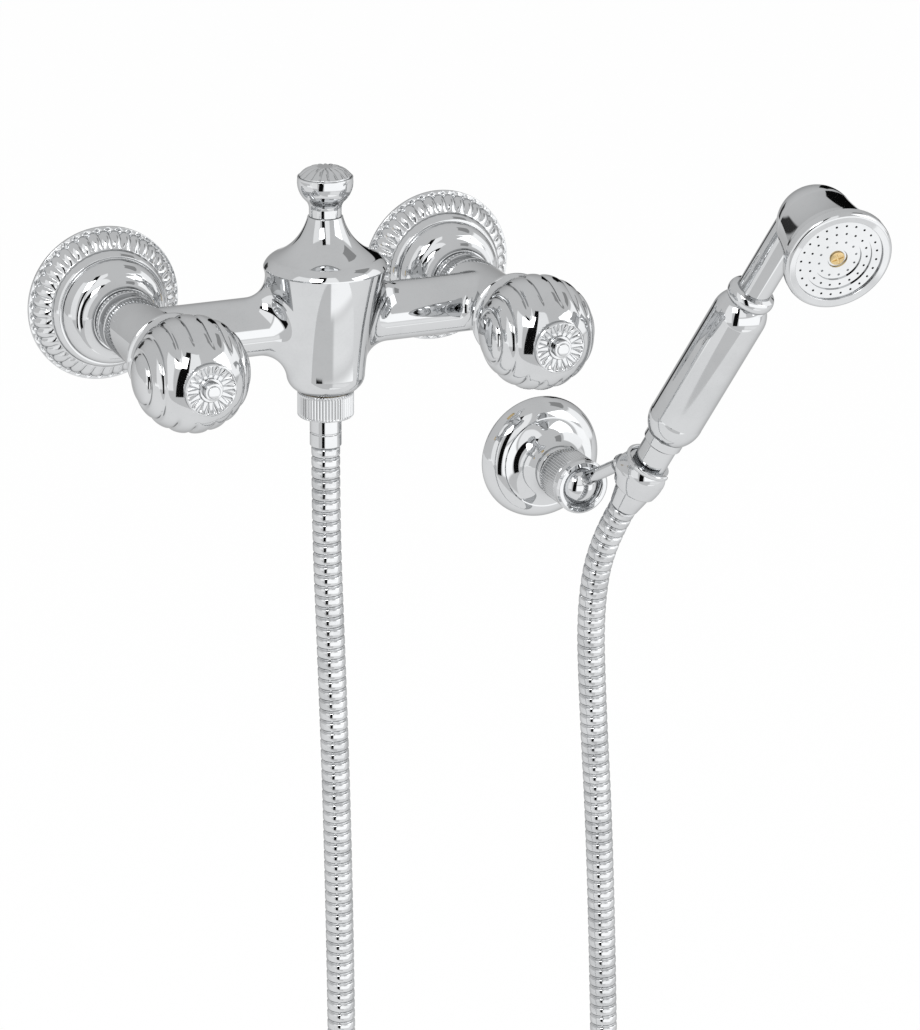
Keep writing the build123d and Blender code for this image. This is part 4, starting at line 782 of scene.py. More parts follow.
@dataclass
class Inlet:
    """What is turned about one inlet's axis: the flange, the union's nut and the valve's housing."""

    side: str
    lobe_count: int = 40
    lobe_deep: float = 1.15
    lobe_band: tuple[float, ...] = (24.6, 27.4, 31.2, 32.6)     # radii where lobes rise and end
    bead_count: int = 44
    bead_deep: float = 0.5
    bead_band: tuple[float, ...] = (28.2, 28.6, 30.2, 30.7)     # distances from the wall

    def lobe_wave(self, r: np.ndarray, z: np.ndarray, angle: np.ndarray) -> np.ndarray:
        """Lobes round the flange's edge, with their inner ends rounded."""
        reach = band(r, *self.lobe_band) * (z < 9.4) * (z > 0.9)
        return self.lobe_deep * lobes(angle, self.lobe_count, 0.75) * reach

    def bead_wave(self, r: np.ndarray, z: np.ndarray, angle: np.ndarray) -> np.ndarray:
        """Beads round the nut's back edge."""
        reach = band(z, *self.bead_band) * (r > 12.4)
        return self.bead_deep * lobes(angle, self.bead_count, 1.0) * reach

    def dress(self, finishes: Finishes) -> None:
        """Build the flange, the nut and the housing.

        Args:
            finishes: the finished materials by slot.
        """
        side, axes = self.side, inlet_axes(self.side)
        flange = Outline(
            (32.8, 0), (32.8, 1.0, 0, 0.4), (31.3, 1.5, 0, 0.4), (25.0, 8.4, 1.5, 0.5),
            (23.2, 12.8, 0.5, 0.5), (22.2, 12.8, 0, 0.3), (18.0, 20.4, 1.2, 1.5), (13.6, 27.5, -1.6, 0.3),
            (12.3, 27.5), (12.3, 22.0), (13.3, 20.6), (16.4, 18.8), (20.9, 13.2), (23.8, 6.8),
            (29.5, 1.2), (31.2, 0), closed=True)
        turned_piece(f"{side}_wall_flange", f"{side}_escutcheon", flange, axes, 480, finishes,
                     self.lobe_wave, 1.1)
        nut = Outline(
            (11.35, 15.5), (12.2, 15.5), (12.2, 28.2), (12.9, 28.2, 0, 0.25), (12.9, 30.9, 0, 0.3),
            (12.5, 31.3, 0, 0.2), (12.9, 31.8, 0, 0.2), (12.9, 37.55, 0, 0.4), (12.5, 37.95, 0, 0.3),
            (8.25, 37.95), (8.25, 29.05), (11.35, 29.05), closed=True)
        turned_piece(f"{side}_collar_nut", f"{side}_union_nut", nut, axes, 352, finishes,
                     self.bead_wave, 0.8)
        housing = Outline(
            (7.65, 50.05), (9.05, 50.05), (9.05, 74), (10.2, 74, 0, 0.15), (10.2, 78.3, 0, 0.5),
            (9.2, 79.3, 0, 0.5), (6.4, 79.3), (6.4, 83.6), (4.06, 83.6), (4.06, 59.1), (7.65, 59.1),
            closed=True)
        turned_piece(f"{side}_valve_housing", f"{side}_headwork", housing, axes, 96, finishes)


@dataclass
class BallHandle:
    """A ball handle with grooves round its sides, its flange, rosette and button."""

    side: str
    ball_r: float = 23.8
    out: float = 105.0
    groove_deep: float = 1.25
    groove_degrees: tuple[float, ...] = (-63, -45, -27, -9, 9, 27, 45, 63)
    groove_wide: float = 2.3      # degrees
    cut_share: float = 0.62       # of the grooves' depth; the arches between them have the rest
    arch_power: float = 0.9
    pitch: float = 18.0           # degrees between grooves
    plain: tuple[float, float] = (36.0, 60.0)   # degrees from the front where the grooves set in
    seat: float = 126.145         # where the rosette sits, out from the wall
    back: float = 88.0            # where the skirt covers the ball
    pressed: float = 0.04         # what is left of the ball's height beyond both
    hollows: int = 16
    hollow_deep: float = 0.85
    hollow_from: float = 5.0      # inner radius of the hollows
    hollow_long: float = 5.0
    rows: int = 200
    crowding: float = 2.6         # how much closer the rows are in a groove
    columns: int = 168

    def groove(self, latitude: np.ndarray, around: np.ndarray) -> np.ndarray:
        """How far the ball's surface is cut in at a latitude about X and an angle from the front.

        Each ridge between two grooves is a shallow arch, and each groove a narrow bell-shaped cut.
        Both fade out towards the front, where the ball is plain.

        Args:
            latitude: angle about X, nought in the middle plane.
            around: angle round X, nought at the front.

        Returns:
            The depth of the cut.
        """
        angle = np.degrees(latitude)
        cut = np.zeros_like(angle)
        for place in self.groove_degrees:
            cut = np.maximum(cut, np.exp(-((angle - place) / self.groove_wide) ** 2))
        share = (angle - self.groove_degrees[0]) / self.pitch
        between = 1 - np.abs(np.cos(pi * (share - 0.5))) ** self.arch_power
        past = np.abs(angle) - self.groove_degrees[-1]
        beyond = 1 - np.sin(pi / 2 * np.clip(past / self.pitch * 2, 0, 1)) ** self.arch_power
        arch = np.where(past < 0, between, beyond)
        from_front = np.degrees(np.arccos(np.clip(np.cos(latitude) * np.cos(around), -1, 1)))
        shape = self.cut_share * cut + (1 - self.cut_share) * arch
        return self.groove_deep * shape * smooth(from_front, *self.plain)

    def ball(self) -> tuple[np.ndarray, np.ndarray]:
        """The grooved ball as a grid of latitude about X and angle round X from the front.

        Its front and back are pressed nearly flat where the rosette and the skirt cover it.

        Returns:
            Points and normals in the object's frame.
        """
        fine = np.linspace(-90, 90, 2001)
        weight = np.full_like(fine, 1.0)
        for place in self.groove_degrees:
            weight += self.crowding * np.exp(-((fine - place) / (1.6 * self.groove_wide)) ** 2)
        total = np.concatenate([[0], np.cumsum((weight[1:] + weight[:-1]) / 2)])
        latitude = np.radians(np.interp(np.linspace(0, total[-1], self.rows + 1), total, fine))
        around = np.linspace(0, 2 * pi, self.columns + 1)
        lat, rnd = np.meshgrid(latitude, around, indexing="ij")

        def surface(lat: np.ndarray, rnd: np.ndarray) -> np.ndarray:
            """Points of the ball in the handle's own axes: X across, Z out.

            Args:
                lat: angle about X.
                rnd: angle round X from the front.

            Returns:
                The points.
            """
            radius = self.ball_r - self.groove(lat, rnd)
            x = radius * np.sin(lat)
            out = self.out + radius * np.cos(lat) * np.cos(rnd)
            up = -radius * np.cos(lat) * np.sin(rnd)
            kept = np.clip(out, self.back, self.seat + 0.1)
            return np.stack([x, up, kept + self.pressed * (out - kept)], -1)

        tiny = 2e-4
        points = surface(lat, rnd)
        across = surface(lat + tiny, rnd) - surface(lat - tiny, rnd)
        along = surface(lat, rnd + tiny) - surface(lat, rnd - tiny)
        normals = np.cross(across, along)
        centre = np.array([0.0, 0.0, self.out])
        poles = np.abs(lat) > radians(89.99)
        normals = np.where(poles[..., None], points - centre, normals)
        normals *= np.sign(np.sum(normals * (points - centre), -1, keepdims=True))
        axes = inlet_axes(self.side)
        return axes.place(points), axes.turn(normals)

    def hollow_wave(self, r: np.ndarray, z: np.ndarray, angle: np.ndarray) -> np.ndarray:
        """Drop-shaped hollows in the rosette: wide and round outside, narrow towards the middle.

        A hollow fills 0.22 + 0.68 s^0.8 of its sector at the share s of its length, rounded off at
        both ends, and is a bowl across that width.

        Args:
            r: radius of each grid point.
            z: height of each grid point.
            angle: angle round the axis.

        Returns:
            The offset along the normal.
        """
        share = np.clip((r - self.hollow_from) / self.hollow_long, 0, 1)
        half = (0.22 + 0.68 * share ** 0.8) * np.sqrt(np.clip(1 - ((share - 0.5) / 0.5) ** 8, 0, 1))
        sector = 2 * pi / self.hollows
        offset = np.abs((angle / sector) % 1.0 - 0.5) * 2
        bowl = np.clip(1 - (offset / np.maximum(half, 0.05)) ** 2, 0, 1)
        here = (z > self.seat + 0.9) * (r > self.hollow_from) * (r < 10.1)
        return -self.hollow_deep * bowl ** 0.8 * here

    def dress(self, finishes: Finishes) -> None:
        """Build the ball with its skirt, the rosette and the button.

        Args:
            finishes: the finished materials by slot.
        """
        side, seat, axes = self.side, self.seat, inlet_axes(self.side)
        body = f"{side}_handle"
        shell = Shell(f"{side}_grooved_ball").add(*self.ball())
        skirt = Outline(
            (0, 84.4), (11.2, 84.4), (11.2, 80.4), (18.3, 80.4, 0, 0.35), (18.3, 81.9, 0, 0.5),
            (16.6, 85.1, -0.45, 1.0), (17.1, 89.9, -0.3, 0.3), (15.0, 91.5), (0, 91.5))
        shell.turned(skirt, axes, 120).piece(body, Slot.CHROME, finishes, f"{side}_handle")
        disc = Outline(
            (0, seat - 3), (5.15, seat - 3), (5.15, seat), (10.8, seat, 0, 0.1), (10.8, seat + 2.1, 0, 0.3),
            (10.3, seat + 2.6, 0, 0.25), (5.1, seat + 1.7, -0.2, 0.2), (4.75, seat + 2.6, 0, 0.2),
            (3.7, seat + 2.6, 0, 0.1), (3.7, seat + 0.8), (0, seat + 0.8))
        turned_piece(f"{side}_fluted_rosette", f"{side}_index_rosette", disc, axes, 384, finishes,
                     self.hollow_wave, 0.25, body)
        button = Outline(
            (0, seat + 0.8), (3.65, seat + 0.8), (3.65, 131.3, 0, 0.35), (2.75, 131.4, 0, 0.1),
            (2.6, 131.2, 0, 0.1), (2.35, 131.8, 0, 0.2), (0, 131.95, 0.05))
        turned_piece(f"{side}_dome_button", f"{side}_index_button", button, axes, 72, finishes,
                     None, 0.4, body)


# Hose


@dataclass
class Hose:
    """The ribbed metal hose with its knurled nut, crimped end and the cone that it ends in."""

    crest_r: float = 6.0
    valley_r: float = 5.35
    pitch: float = 4.7
    around: int = 28              # steps round the tube
    knurls: int = 56
    knurl_deep: float = 0.45
    knurl_band: tuple[float, ...] = (-39.2, -38.7, -29.6, -29.2)
    route: tuple[tuple[float, float, float], ...] = (
        (0.0, 61.0, -44.7), (0.0, 61.0, -80.0), (2.2, 60.8, -132.0), (5.4, 60.2, -217.0),
        (8.0, 59.0, -332.0), (8.0, 58.0, -447.0), (5.6, 57.0, -527.0), (6.5, 56.2, -572.0),
        (31.9, 55.4, -607.0), (73.1, 54.4, -620.4), (114.4, 53.2, -607.0), (139.8, 52.2, -572.0),
        (141.6, 51.2, -527.0), (140.4, 50.2, -447.0), (137.5, 49.6, -337.0), (134.0, 49.2, -247.0),
        (129.2, 49.6, -182.0), (126.0, 52.2, -138.0))
    cone_foot: float = -26.0      # where the hose ends, along the grip
    exit_run: float = 22.0        # how far it runs straight out of the cone

    def line(self) -> np.ndarray:
        """The smooth line that the route's points pull into shape, ended straight inside the cone.

        Returns:
            Its points in metres.
        """
        ends = GRIP.place(np.array([[0, 0, self.cone_foot - self.exit_run], [0, 0, self.cone_foot]]))
        places = np.array([(x, -out, z) for x, out, z in self.route] + [tuple(end) for end in ends]) * MM
        curve = bpy.data.curves.new("hose_line", "CURVE")
        curve.dimensions = "3D"
        spline = curve.splines.new("NURBS")
        spline.points.add(len(places) - 1)
        spline.points.foreach_set("co", np.c_[places, np.ones(len(places))].ravel())
        spline.order_u = 3
        spline.use_endpoint_u = True
        spline.resolution_u = 24
        carrier = bpy.data.objects.new("hose_line", curve)
        drawn = bpy.data.meshes.new_from_object(carrier)
        points = np.zeros(len(drawn.vertices) * 3)
        drawn.vertices.foreach_get("co", points)
        bpy.data.objects.remove(carrier)
        bpy.data.curves.remove(curve)
        bpy.data.meshes.remove(drawn)
        points = points.reshape(-1, 3)
        steps = np.linalg.norm(np.diff(points, axis=0), axis=1)
        return points[np.concatenate([[True], steps > 1e-6])]

    def tube(self, line: np.ndarray) -> tuple[np.ndarray, np.ndarray, float]:
        """The ribbed surface round the line.

        Within a rib the radius is nearly flat for two thirds, rounded at both edges, and falls
        into a narrow groove. Each ring is square to the line, and starts square to the wall's
        normal too.

        Args:
            line: the line's points in metres.

        Returns:
            Points and normals in millimetres, and the line's length in metres.
        """
        lengths = np.concatenate([[0], np.cumsum(np.linalg.norm(np.diff(line, axis=0), axis=1))])
        total = lengths[-1] / MM
        ribs = round(total / self.pitch)
        marks = np.array([0.0, 0.06, 0.1, 0.16, 0.26, 0.5, 0.74, 0.84, 0.9, 0.94])
        high = np.array([0.0, 0.05, 0.55, 0.86, 0.97, 1.0, 0.97, 0.86, 0.55, 0.05])
        slope = np.array([0.0, 1.6, 1.5, 0.75, 0.12, 0.0, -0.12, -0.75, -1.5, -1.6])
        along = (np.arange(ribs)[:, None] + marks[None, :]).ravel() / ribs * total
        radius = self.valley_r + (self.crest_r - self.valley_r) * np.tile(high, ribs)
        lean = np.tile(slope, ribs)
        along, radius, lean = np.append(along, total), np.append(radius, self.valley_r), np.append(lean, 0)
        centre = np.stack([np.interp(along * MM, lengths, line[:, axis]) for axis in range(3)], -1) / MM
        tangent = np.gradient(centre, along, axis=0)
        tangent /= np.linalg.norm(tangent, axis=1, keepdims=True)
        side = np.cross(tangent, np.array([0.0, -1.0, 0.0]))
        side /= np.linalg.norm(side, axis=1, keepdims=True)
        other = np.cross(tangent, side)
        turn = np.linspace(0, 2 * pi, self.around + 1)
        spoke = side[:, None] * np.cos(turn)[None, :, None] + other[:, None] * np.sin(turn)[None, :, None]
        points = centre[:, None] + spoke * radius[:, None, None]
        normals = spoke - tangent[:, None] * lean[:, None, None]
        return points, normals, total * MM

    def knurl(self, r: np.ndarray, z: np.ndarray, angle: np.ndarray) -> np.ndarray:
        """Fine upright ridges on the nut's side."""
        reach = band(z, *self.knurl_band) * (r > 11.3)
        return self.knurl_deep * lobes(angle, self.knurls, 1.0) * reach

    def dress(self, finishes: Finishes) -> None:
        """Args:
            finishes: the finished materials by slot.
        """
        line = self.line()
        points, normals, length = self.tube(line)
        shell = Shell("ribbed_hose")
        shell.add(points, normals)
        for end, way in ((0, -1.0), (-1, 1.0)):
            middle = line[end] / MM
            centre = np.repeat(middle[None], self.around + 1, axis=0)
            tangent = way * unit(line[1] - line[0] if end == 0 else line[-1] - line[-2])
            shell.add(np.stack([points[end], centre]), np.broadcast_to(tangent, (2, self.around + 1, 3)))
        hose = shell.piece("wall_body", Slot.HOSE, finishes, "shower_hose")
        tuple(line[0])
        [tuple(point) for point in line]
        log.info("hose length %.3f m", length)
        nut = Outline(
            (6.8, -39.6), (11.1, -39.6), (11.7, -39.0, 0, 0.2), (11.7, -29.4, 0, 0.2), (11.1, -28.8),
            (10.53, -28.8), (10.53, -37.3), (6.8, -37.3), closed=True)
        turned_piece("knurled_hose_nut", "hose_nut", nut, UPRIGHT, 448, finishes, self.knurl, 1.0)
        ferrule = Outline(
            (4, -52.7), (6.2, -52.7), (6.6, -52.3, 0, 0.3), (6.6, -47.2, 0, 0.2), (6.35, -46.9),
            (6.35, -46.5), (6.6, -46.2), (6.6, -37.25), (9, -37.25), (9, -35.45), (4, -35.45), closed=True)
        turned_piece("hose_crimp", "hose_ferrule", ferrule, UPRIGHT, 72, finishes)


# Wall bracket


@dataclass
class Bracket:
    """The rose on the wall, the socket and the knurled nut that clamps the ball."""

    knurls: int = 60
    knurl_deep: float = 0.5
    knurl_band: tuple[float, ...] = (27.2, 27.8, 40.6, 41.2)    # distances from the wall

    def knurl(self, r: np.ndarray, z: np.ndarray, angle: np.ndarray) -> np.ndarray:
        """Fine ridges round the back band of the clamp nut."""
        reach = band(z, *self.knurl_band) * (r > 11.2)
        return self.knurl_deep * lobes(angle, self.knurls, 1.0) * reach

    def dress(self, finishes: Finishes) -> None:
        """Build the rose, the socket and the nut.

        Args:
            finishes: the finished materials by slot.
        """
        axes = from_wall(BRACKET_X, BRACKET_Z)
        rose = Outline(
            (27.2, 0), (27.2, 0.9, 0, 0.3), (20.4, 9.4, 1.6, 0.3), (19.8, 9.4, 0, 0.2), (9.7, 20, -2.2, 0.2),
            (8.65, 20), (8.65, 16), (12.2, 10.6), (19.4, 7.8), (23.8, 3.2), (25.9, 0), closed=True)
        turned_piece("bracket_bell", "bracket_rose", rose, axes, 144, finishes)
        socket = Outline(
            (6.05, 5), (8.6, 5), (8.6, 20), (10.6, 20, 0, 0.3), (10.6, 24.4, 0.5, 0.3), (9.2, 24.4),
            (9.2, 26.6), (9.6, 27.0), (9.6, 35.6), (8.26, 35.6), (8.26, 30.94), (4, 30.94), (4, 14),
            (6.05, 14), closed=True)
        turned_piece("bracket_socket", "ball_socket", socket, axes, 96, finishes)
        nut = Outline(
            (9.65, 26.6), (11.2, 26.6, 0, 0.3), (11.7, 27.1, 0, 0.3), (11.7, 41.4, 0, 0.3),
            (11.0, 42.0, 0, 0.2), (11.6, 42.05, 0, 0.1), (12.0, 42.5, 0, 0.4), (12.0, 45.2, 0, 0.5),
            (11.0, 46.4, 0, 0.5), (9.3, 46.4, 0, 0.3), (7.8, 44.66, 0, 0.2), (9.15, 40.4, 0.25),
            (9.15, 36.0), (9.65, 36.0), closed=True)
        turned_piece("knurled_clamp_nut", "ball_clamp_nut", nut, axes, 480, finishes,
                     self.knurl, 1.0, "clamp_nut")


@dataclass
class Cradle:
    """The ball and rod, and the open ring at its end that holds the hose's cone."""

    foot: float = -15.0           # the barrel's lower end
    bore: tuple[float, float] = (8.55, 9.45)    # its bore's radius at the foot and at the top
    slot_half: float = 6.3
    rod_r: float = 2.8
    rod_flare: float = 1.2        # how much thicker the rod is where it meets the boss
    ball_r: float = 9.0
    ball_back: float = -6.5       # the ball's flat back, from its centre
    boss_r: float = 6.6
    boss_off: float = 6.2
    boss_down: float = 7.5
    boss_soft: float = 0.45       # how softly the boss runs into the barrel
    columns: int = 120

    def boss(self, r: np.ndarray, z: np.ndarray, angle: np.ndarray) -> np.ndarray:
        """How far the round boss opposite the slot lifts the barrel's side.

        A ray from the barrel's axis leaves the boss's ball at off cos a + sqrt(radius^2 -
        off^2 sin^2 a - height^2), and a soft maximum joins that to the barrel.

        Args:
            r: radius of each grid point.
            z: height of each grid point.
            angle: angle round the axis.

        Returns:
            The offset along the normal.
        """
        away = angle - pi
        under = self.boss_r ** 2 - (self.boss_off * np.sin(away)) ** 2 - (z + self.boss_down) ** 2
        reach = self.boss_off * np.cos(away) + np.sqrt(np.clip(under, 0, None))
        lowest, soft = -3.0, self.boss_soft
        lift = np.maximum(np.where((under > 0) & (np.cos(away) > 0), reach - r, lowest), lowest)
        joined = np.log1p(np.exp(lift / soft)) - np.log1p(np.exp(lowest / soft))
        return joined * soft * (r > 9.9)

    def swept(self, r: np.ndarray, z: np.ndarray, heading: np.ndarray,
              wave: Optional[Wave] = None) -> tuple[np.ndarray, np.ndarray]:
        """Points and normals of an outline turned from one side of the slot round to the other.

        At radius r the slot's sides lie at plus and minus the arcsine of its half width over r.

        Args:
            r: the outline's radii.
            z: its heights.
            heading: its headings.
            wave: offset along the normal, or none.

        Returns:
            The points and the normals in the object's frame.
        """
        start = np.arcsin(self.slot_half / r)[:, None]
        angle = start + (2 * pi - 2 * start) * np.linspace(0, 1, self.columns + 1)[None, :]
        grids = [np.repeat(value[:, None], self.columns + 1, axis=1) for value in (r, z, heading)]
        return waved(*grids, angle, CRADLE, wave)

    def ring(self) -> Shell:
        """The barrel with its lip, swept round all but the slot, with flat ends at the slot.

        Returns:
            The shell of the ring.
        """
        narrow, wide = self.bore
        outer = Outline(
            (narrow, self.foot), (9.8, self.foot, 0, 0.3), (10.2, -14.4, 0, 0.3), (11.2, -7.0, 0.25, 2.0),
            (10.5, -2.0, 0.3, 0.15), (10.9, -1.6, 0, 0.25), (10.9, -0.4, 0, 0.25), (10.5, 0, 0, 0.25),
            (wide, 0, 0, 0.1), corner=0.1)
        points, normals = self.swept(*outer.at(outer.rows(step=0.7)), self.boss)
        up = np.linspace(0, 1, len(points))
        heading = np.full_like(up, atan2(self.foot, narrow - wide))
        inside, inward = self.swept(narrow + (wide - narrow) * up, self.foot * (1 - up), heading)
        shell = Shell("cradle_ring").add(points, normals).add(inside, inward)
        for end, way in ((0, -1.0), (-1, 1.0)):
            facing = CRADLE.turn(np.array([0.0, way, 0.0]))
            grid = np.stack([points[:, end], inside[:, end]], 1)
            shell.add(grid, np.broadcast_to(facing, grid.shape))
        return shell

    def rod(self) -> Shell:
        """The ball with its flat back, and the rod that flares where it meets the boss.

        Returns:
            The shell of both.
        """
        end = CRADLE.place(np.array([-9.45, 0.0, -6.0]))
        ball = np.array([BRACKET_X, -BALL_OUT, BRACKET_Z])
        reach = float(np.linalg.norm(end - ball)) - 1.2
        along = unit(end - ball)
        axes = Axes(tuple(ball), tuple(unit(np.cross(along, (0.0, 0.0, 1.0)))), tuple(along))
        back, thin, thick = self.ball_back, self.rod_r, self.rod_r + self.rod_flare
        rim, top = (sqrt(self.ball_r ** 2 - off ** 2) for off in (back, thin))
        rise = arc_rise(self.ball_r, (rim, back), (thin, top))
        outline = Outline(
            (0, back), (rim, back, 0, 0.3), (thin, top, rise, 0.8), (thin, reach - 5.0, 0, 3.0),
            (thick, reach - 1.5, -0.15, 0.3), (thick, reach), (0, reach))
        return Shell("ball_and_rod").turned(outline, axes, 72, None, 1.0)

    def dress(self, finishes: Finishes) -> None:
        """Build both pieces."""
        self.rod().piece("arm", Slot.CHROME, finishes, "swivel_arm")
        self.ring().piece("arm", Slot.CHROME, finishes, "cradle")


# Hand shower


@dataclass
class HandShower:
    """The cone, coupling, grip, bead collar, head and spray ring along the grip's axis."""

    dome_r: float = 16.4
    neck_r: float = 7.35
    neck_ends: tuple[float, float] = (96.4, 132.0)      # from the collar into the dome

    def fittings(self) -> Iterable[tuple[str, str, str, Outline, int]]:
        """The plain turned pieces, from the hose's end up to the collar.

        Returns:
            Name, node, body, outline and columns of each.
        """
        yield "hose_cone", "hose_cone_nut", "handset", Outline(
            (5.26, -25.9), (6.0, -25.9), (6.4, -25.4, 0, 0.3), (8.43, -15, 0, 0.5), (9.24, -1.5, 0, 0.3),
            (7.05, -1.5), (7.05, -16.06), (5.26, -16.06), closed=True), 96
        yield "hose_swivel", "hose_end_swivel", "hose_end", Outline(
            (3.6, -26), (5.2, -26), (5.2, -16), (6.8, -16), (6.8, -14), (3.6, -14), closed=True), 64
        yield "grip_coupling", "handset_coupling", "handset", Outline(
            (3.6, -12.34), (7, -12.34), (7, -1.2), (7.45, -0.9, 0, 0.2), (7.45, 10.4, 0, 0.6),
            (8.5, 11.2, 0, 0.4), (8.5, 15.3, 0, 0.3), (6.15, 15.3), (6.15, 23.3), (3.6, 23.3),
            closed=True), 96
        yield "round_grip", "handset_grip", "handset", Outline(
            (6.2, 15.3), (8.7, 15.3, 0, 0.4), (11.8, 25.8, 1.1, 1.0), (11.8, 81.5, 0, 1.0),
            (8.7, 90, 0.9, 0.4), (6.2, 90), closed=True), 128
        yield "bead_collar", "grip_collar", "handset", Outline(
            (6.2, 90), (8.3, 90), (9.5, 90.6, 0, 0.4), (9.5, 95.6, 0.8, 0.5), (7.85, 96.4, 0, 0.3),
            (6.2, 96.4), closed=True), 96

    def head(self) -> Shell:
        """Neck and dome as two turned surfaces that meet in a crease.

        Returns:
            The shell of both.
        """
        foot, top = self.neck_ends
        neck = Outline((5.2, foot), (self.neck_r, foot), (self.neck_r, top), (0, top))
        deep, back = -FACE_DEEP, -FACE_DEEP - self.dome_r
        cup = Outline(
            (0, back), (self.dome_r, deep, arc_rise(self.dome_r, (0, back), (self.dome_r, deep))),
            (20.2, -8.0, -0.4, 1.5), (20.6, -5.0, 0, 0.3), (20.6, -4.0), (19.55, -4.0), (19.55, -2.6),
            (0, -2.6))
        return Shell("head_shell").turned(neck, GRIP, 96).turned(cup, FACE, 160)

    def dress(self, finishes: Finishes) -> None:
        """Build the turned pieces, the head and the spray ring.

        Args:
            finishes: the finished materials by slot.
        """
        for name, node, body, outline, columns in self.fittings():
            turned_piece(name, node, outline, GRIP, columns, finishes, body=body)
        self.head().piece("handset", Slot.CHROME, finishes, "handset_head")
        rim = Outline(
            (19.6, -4.0), (21.9, -4.0, 0, 0.3), (22.7, -3.1, 0, 0.4), (22.7, -0.4, 0, 0.5),
            (21.1, 1.2, 0.35, 0.3), (18.6, 0.9, 0, 0.25), (18.6, 0.05), (19.6, 0.05), closed=True)
        turned_piece("spray_rim", "spray_ring", rim, FACE, 144, finishes, body="handset")


# Finishes


class Value:
    """A socket's output in a material or world, on which arithmetic adds Math nodes."""

    def __init__(self, graph: "Graph", socket: bpy.types.NodeSocket) -> None:
        """Hold a socket of a graph."""
        self.graph = graph
        self.socket = socket

    def math(self, operation: str, *terms: Any) -> "Value":
        """A Math node on these terms."""
        inputs = dict(enumerate(terms))
        return self.graph.node("ShaderNodeMath", {"operation": operation}, inputs)

    def __add__(self, other: Any) -> "Value":
        """The sum."""
        return self.math("ADD", self, other)

    def __sub__(self, other: Any) -> "Value":
        """The difference."""
        return self.math("SUBTRACT", self, other)

    def __rsub__(self, other: Any) -> "Value":
        """The difference from a number."""
        return self.math("SUBTRACT", other, self)

    def __mul__(self, other: Any) -> "Value":
        """The product."""
        return self.math("MULTIPLY", self, other)

    def larger(self, other: Any) -> "Value":
        """The larger of two."""
        return self.math("MAXIMUM", self, other)

    __radd__ = __add__
    __rmul__ = __mul__


class Graph:
    """The nodes of one material or world."""

    def __init__(self, tree: bpy.types.NodeTree) -> None:
        """Start from an empty tree."""
        self.tree = tree
        tree.nodes.clear()

    def node(self, kind: str, settings: dict[str, Any], inputs: dict[Any, Any],
             output: Any = 0) -> Optional[Value]:
        """Add a node.

        Args:
            kind: the node's type.
            settings: its properties, set first.
            inputs: values or links by socket name or number.
            output: name or number of the socket that is returned.

        Returns:
            The output as a value, or none from a node that has no outputs.
        """
        node = self.tree.nodes.new(kind)
        for name, setting in settings.items():
            setattr(node, name, setting)
        for name, value in inputs.items():
            if isinstance(value, Value):
                self.tree.links.new(value.socket, node.inputs[name])
            else:
                node.inputs[name].default_value = value
        return Value(self, node.outputs[output]) if node.outputs else None


@dataclass(frozen=True)
class Finish:
    """One surface finish: its colour, gloss and the fine unevenness of both.

    Args:
        slot: the record's slot.
        colour: the plain colour.
        shade: the colour in the patches that handling and water leave.
        metallic: 1 for metal.
        roughness: the least roughness.
        spread: how much rougher the dullest patches are.
        patch: size of the patches, in metres.
        grain: size of the finest unevenness, in metres.
        relief: depth of that unevenness, in metres.
        coat: clear gloss on top, 0 to 1.
        edge: how much of the light metal keeps where the surface turns away from the eye.
        broad: share of the large patches in the unevenness; the fine grain has the rest.
        worn: unevenness at which the shade sets in and at which it is whole.
    """

    slot: Slot
    colour: tuple[float, float, float]
    shade: tuple[float, float, float]
    metallic: float
    roughness: float
    spread: float
    patch: float
    grain: float
    relief: float
    coat: float = 0.0
    edge: float = 1.0
    broad: float = 0.8
    worn: tuple[float, float] = (0.42, 0.64)

    def material(self) -> bpy.types.Material:
        """Mix both colours and roughnesses by two sizes of noise, and add the fine relief.

        Returns:
            The material.
        """
        made = bpy.data.materials.new(f"{self.slot.value}_finish")
        made.use_nodes = True
        graph = Graph(made.node_tree)
        place = graph.node("ShaderNodeTexCoord", {}, {}, "Object")
        broad = graph.node("ShaderNodeTexNoise", {}, {
            "Vector": place, "Scale": 1 / self.patch, "Detail": 4.0, "Roughness": 0.55}, "Fac")
        fine = graph.node("ShaderNodeTexNoise", {}, {
            "Vector": place, "Scale": 1 / self.grain, "Detail": 2.0, "Roughness": 0.5}, "Fac")
        worn = graph.node("ShaderNodeMapRange", {"interpolation_type": "SMOOTHSTEP"}, {
            "Value": broad * self.broad + fine * (1 - self.broad),
            "From Min": self.worn[0], "From Max": self.worn[1]})
        colour = graph.node("ShaderNodeMix", {"data_type": "RGBA"}, {
            "Factor": worn, "A": (*self.colour, 1.0), "B": (*self.shade, 1.0)}, 2)
        relief = graph.node("ShaderNodeBump", {}, {
            "Height": fine, "Strength": 1.0, "Distance": self.relief})
        surface = graph.node("ShaderNodeBsdfPrincipled", {}, {
            "Base Color": colour, "Metallic": self.metallic,
            "Roughness": worn * self.spread + self.roughness, "Normal": relief,
            "Coat Weight": self.coat, "Specular Tint": (self.edge, self.edge, self.edge, 1.0)})
        graph.node("ShaderNodeOutputMaterial", {}, {"Surface": surface})
        return made


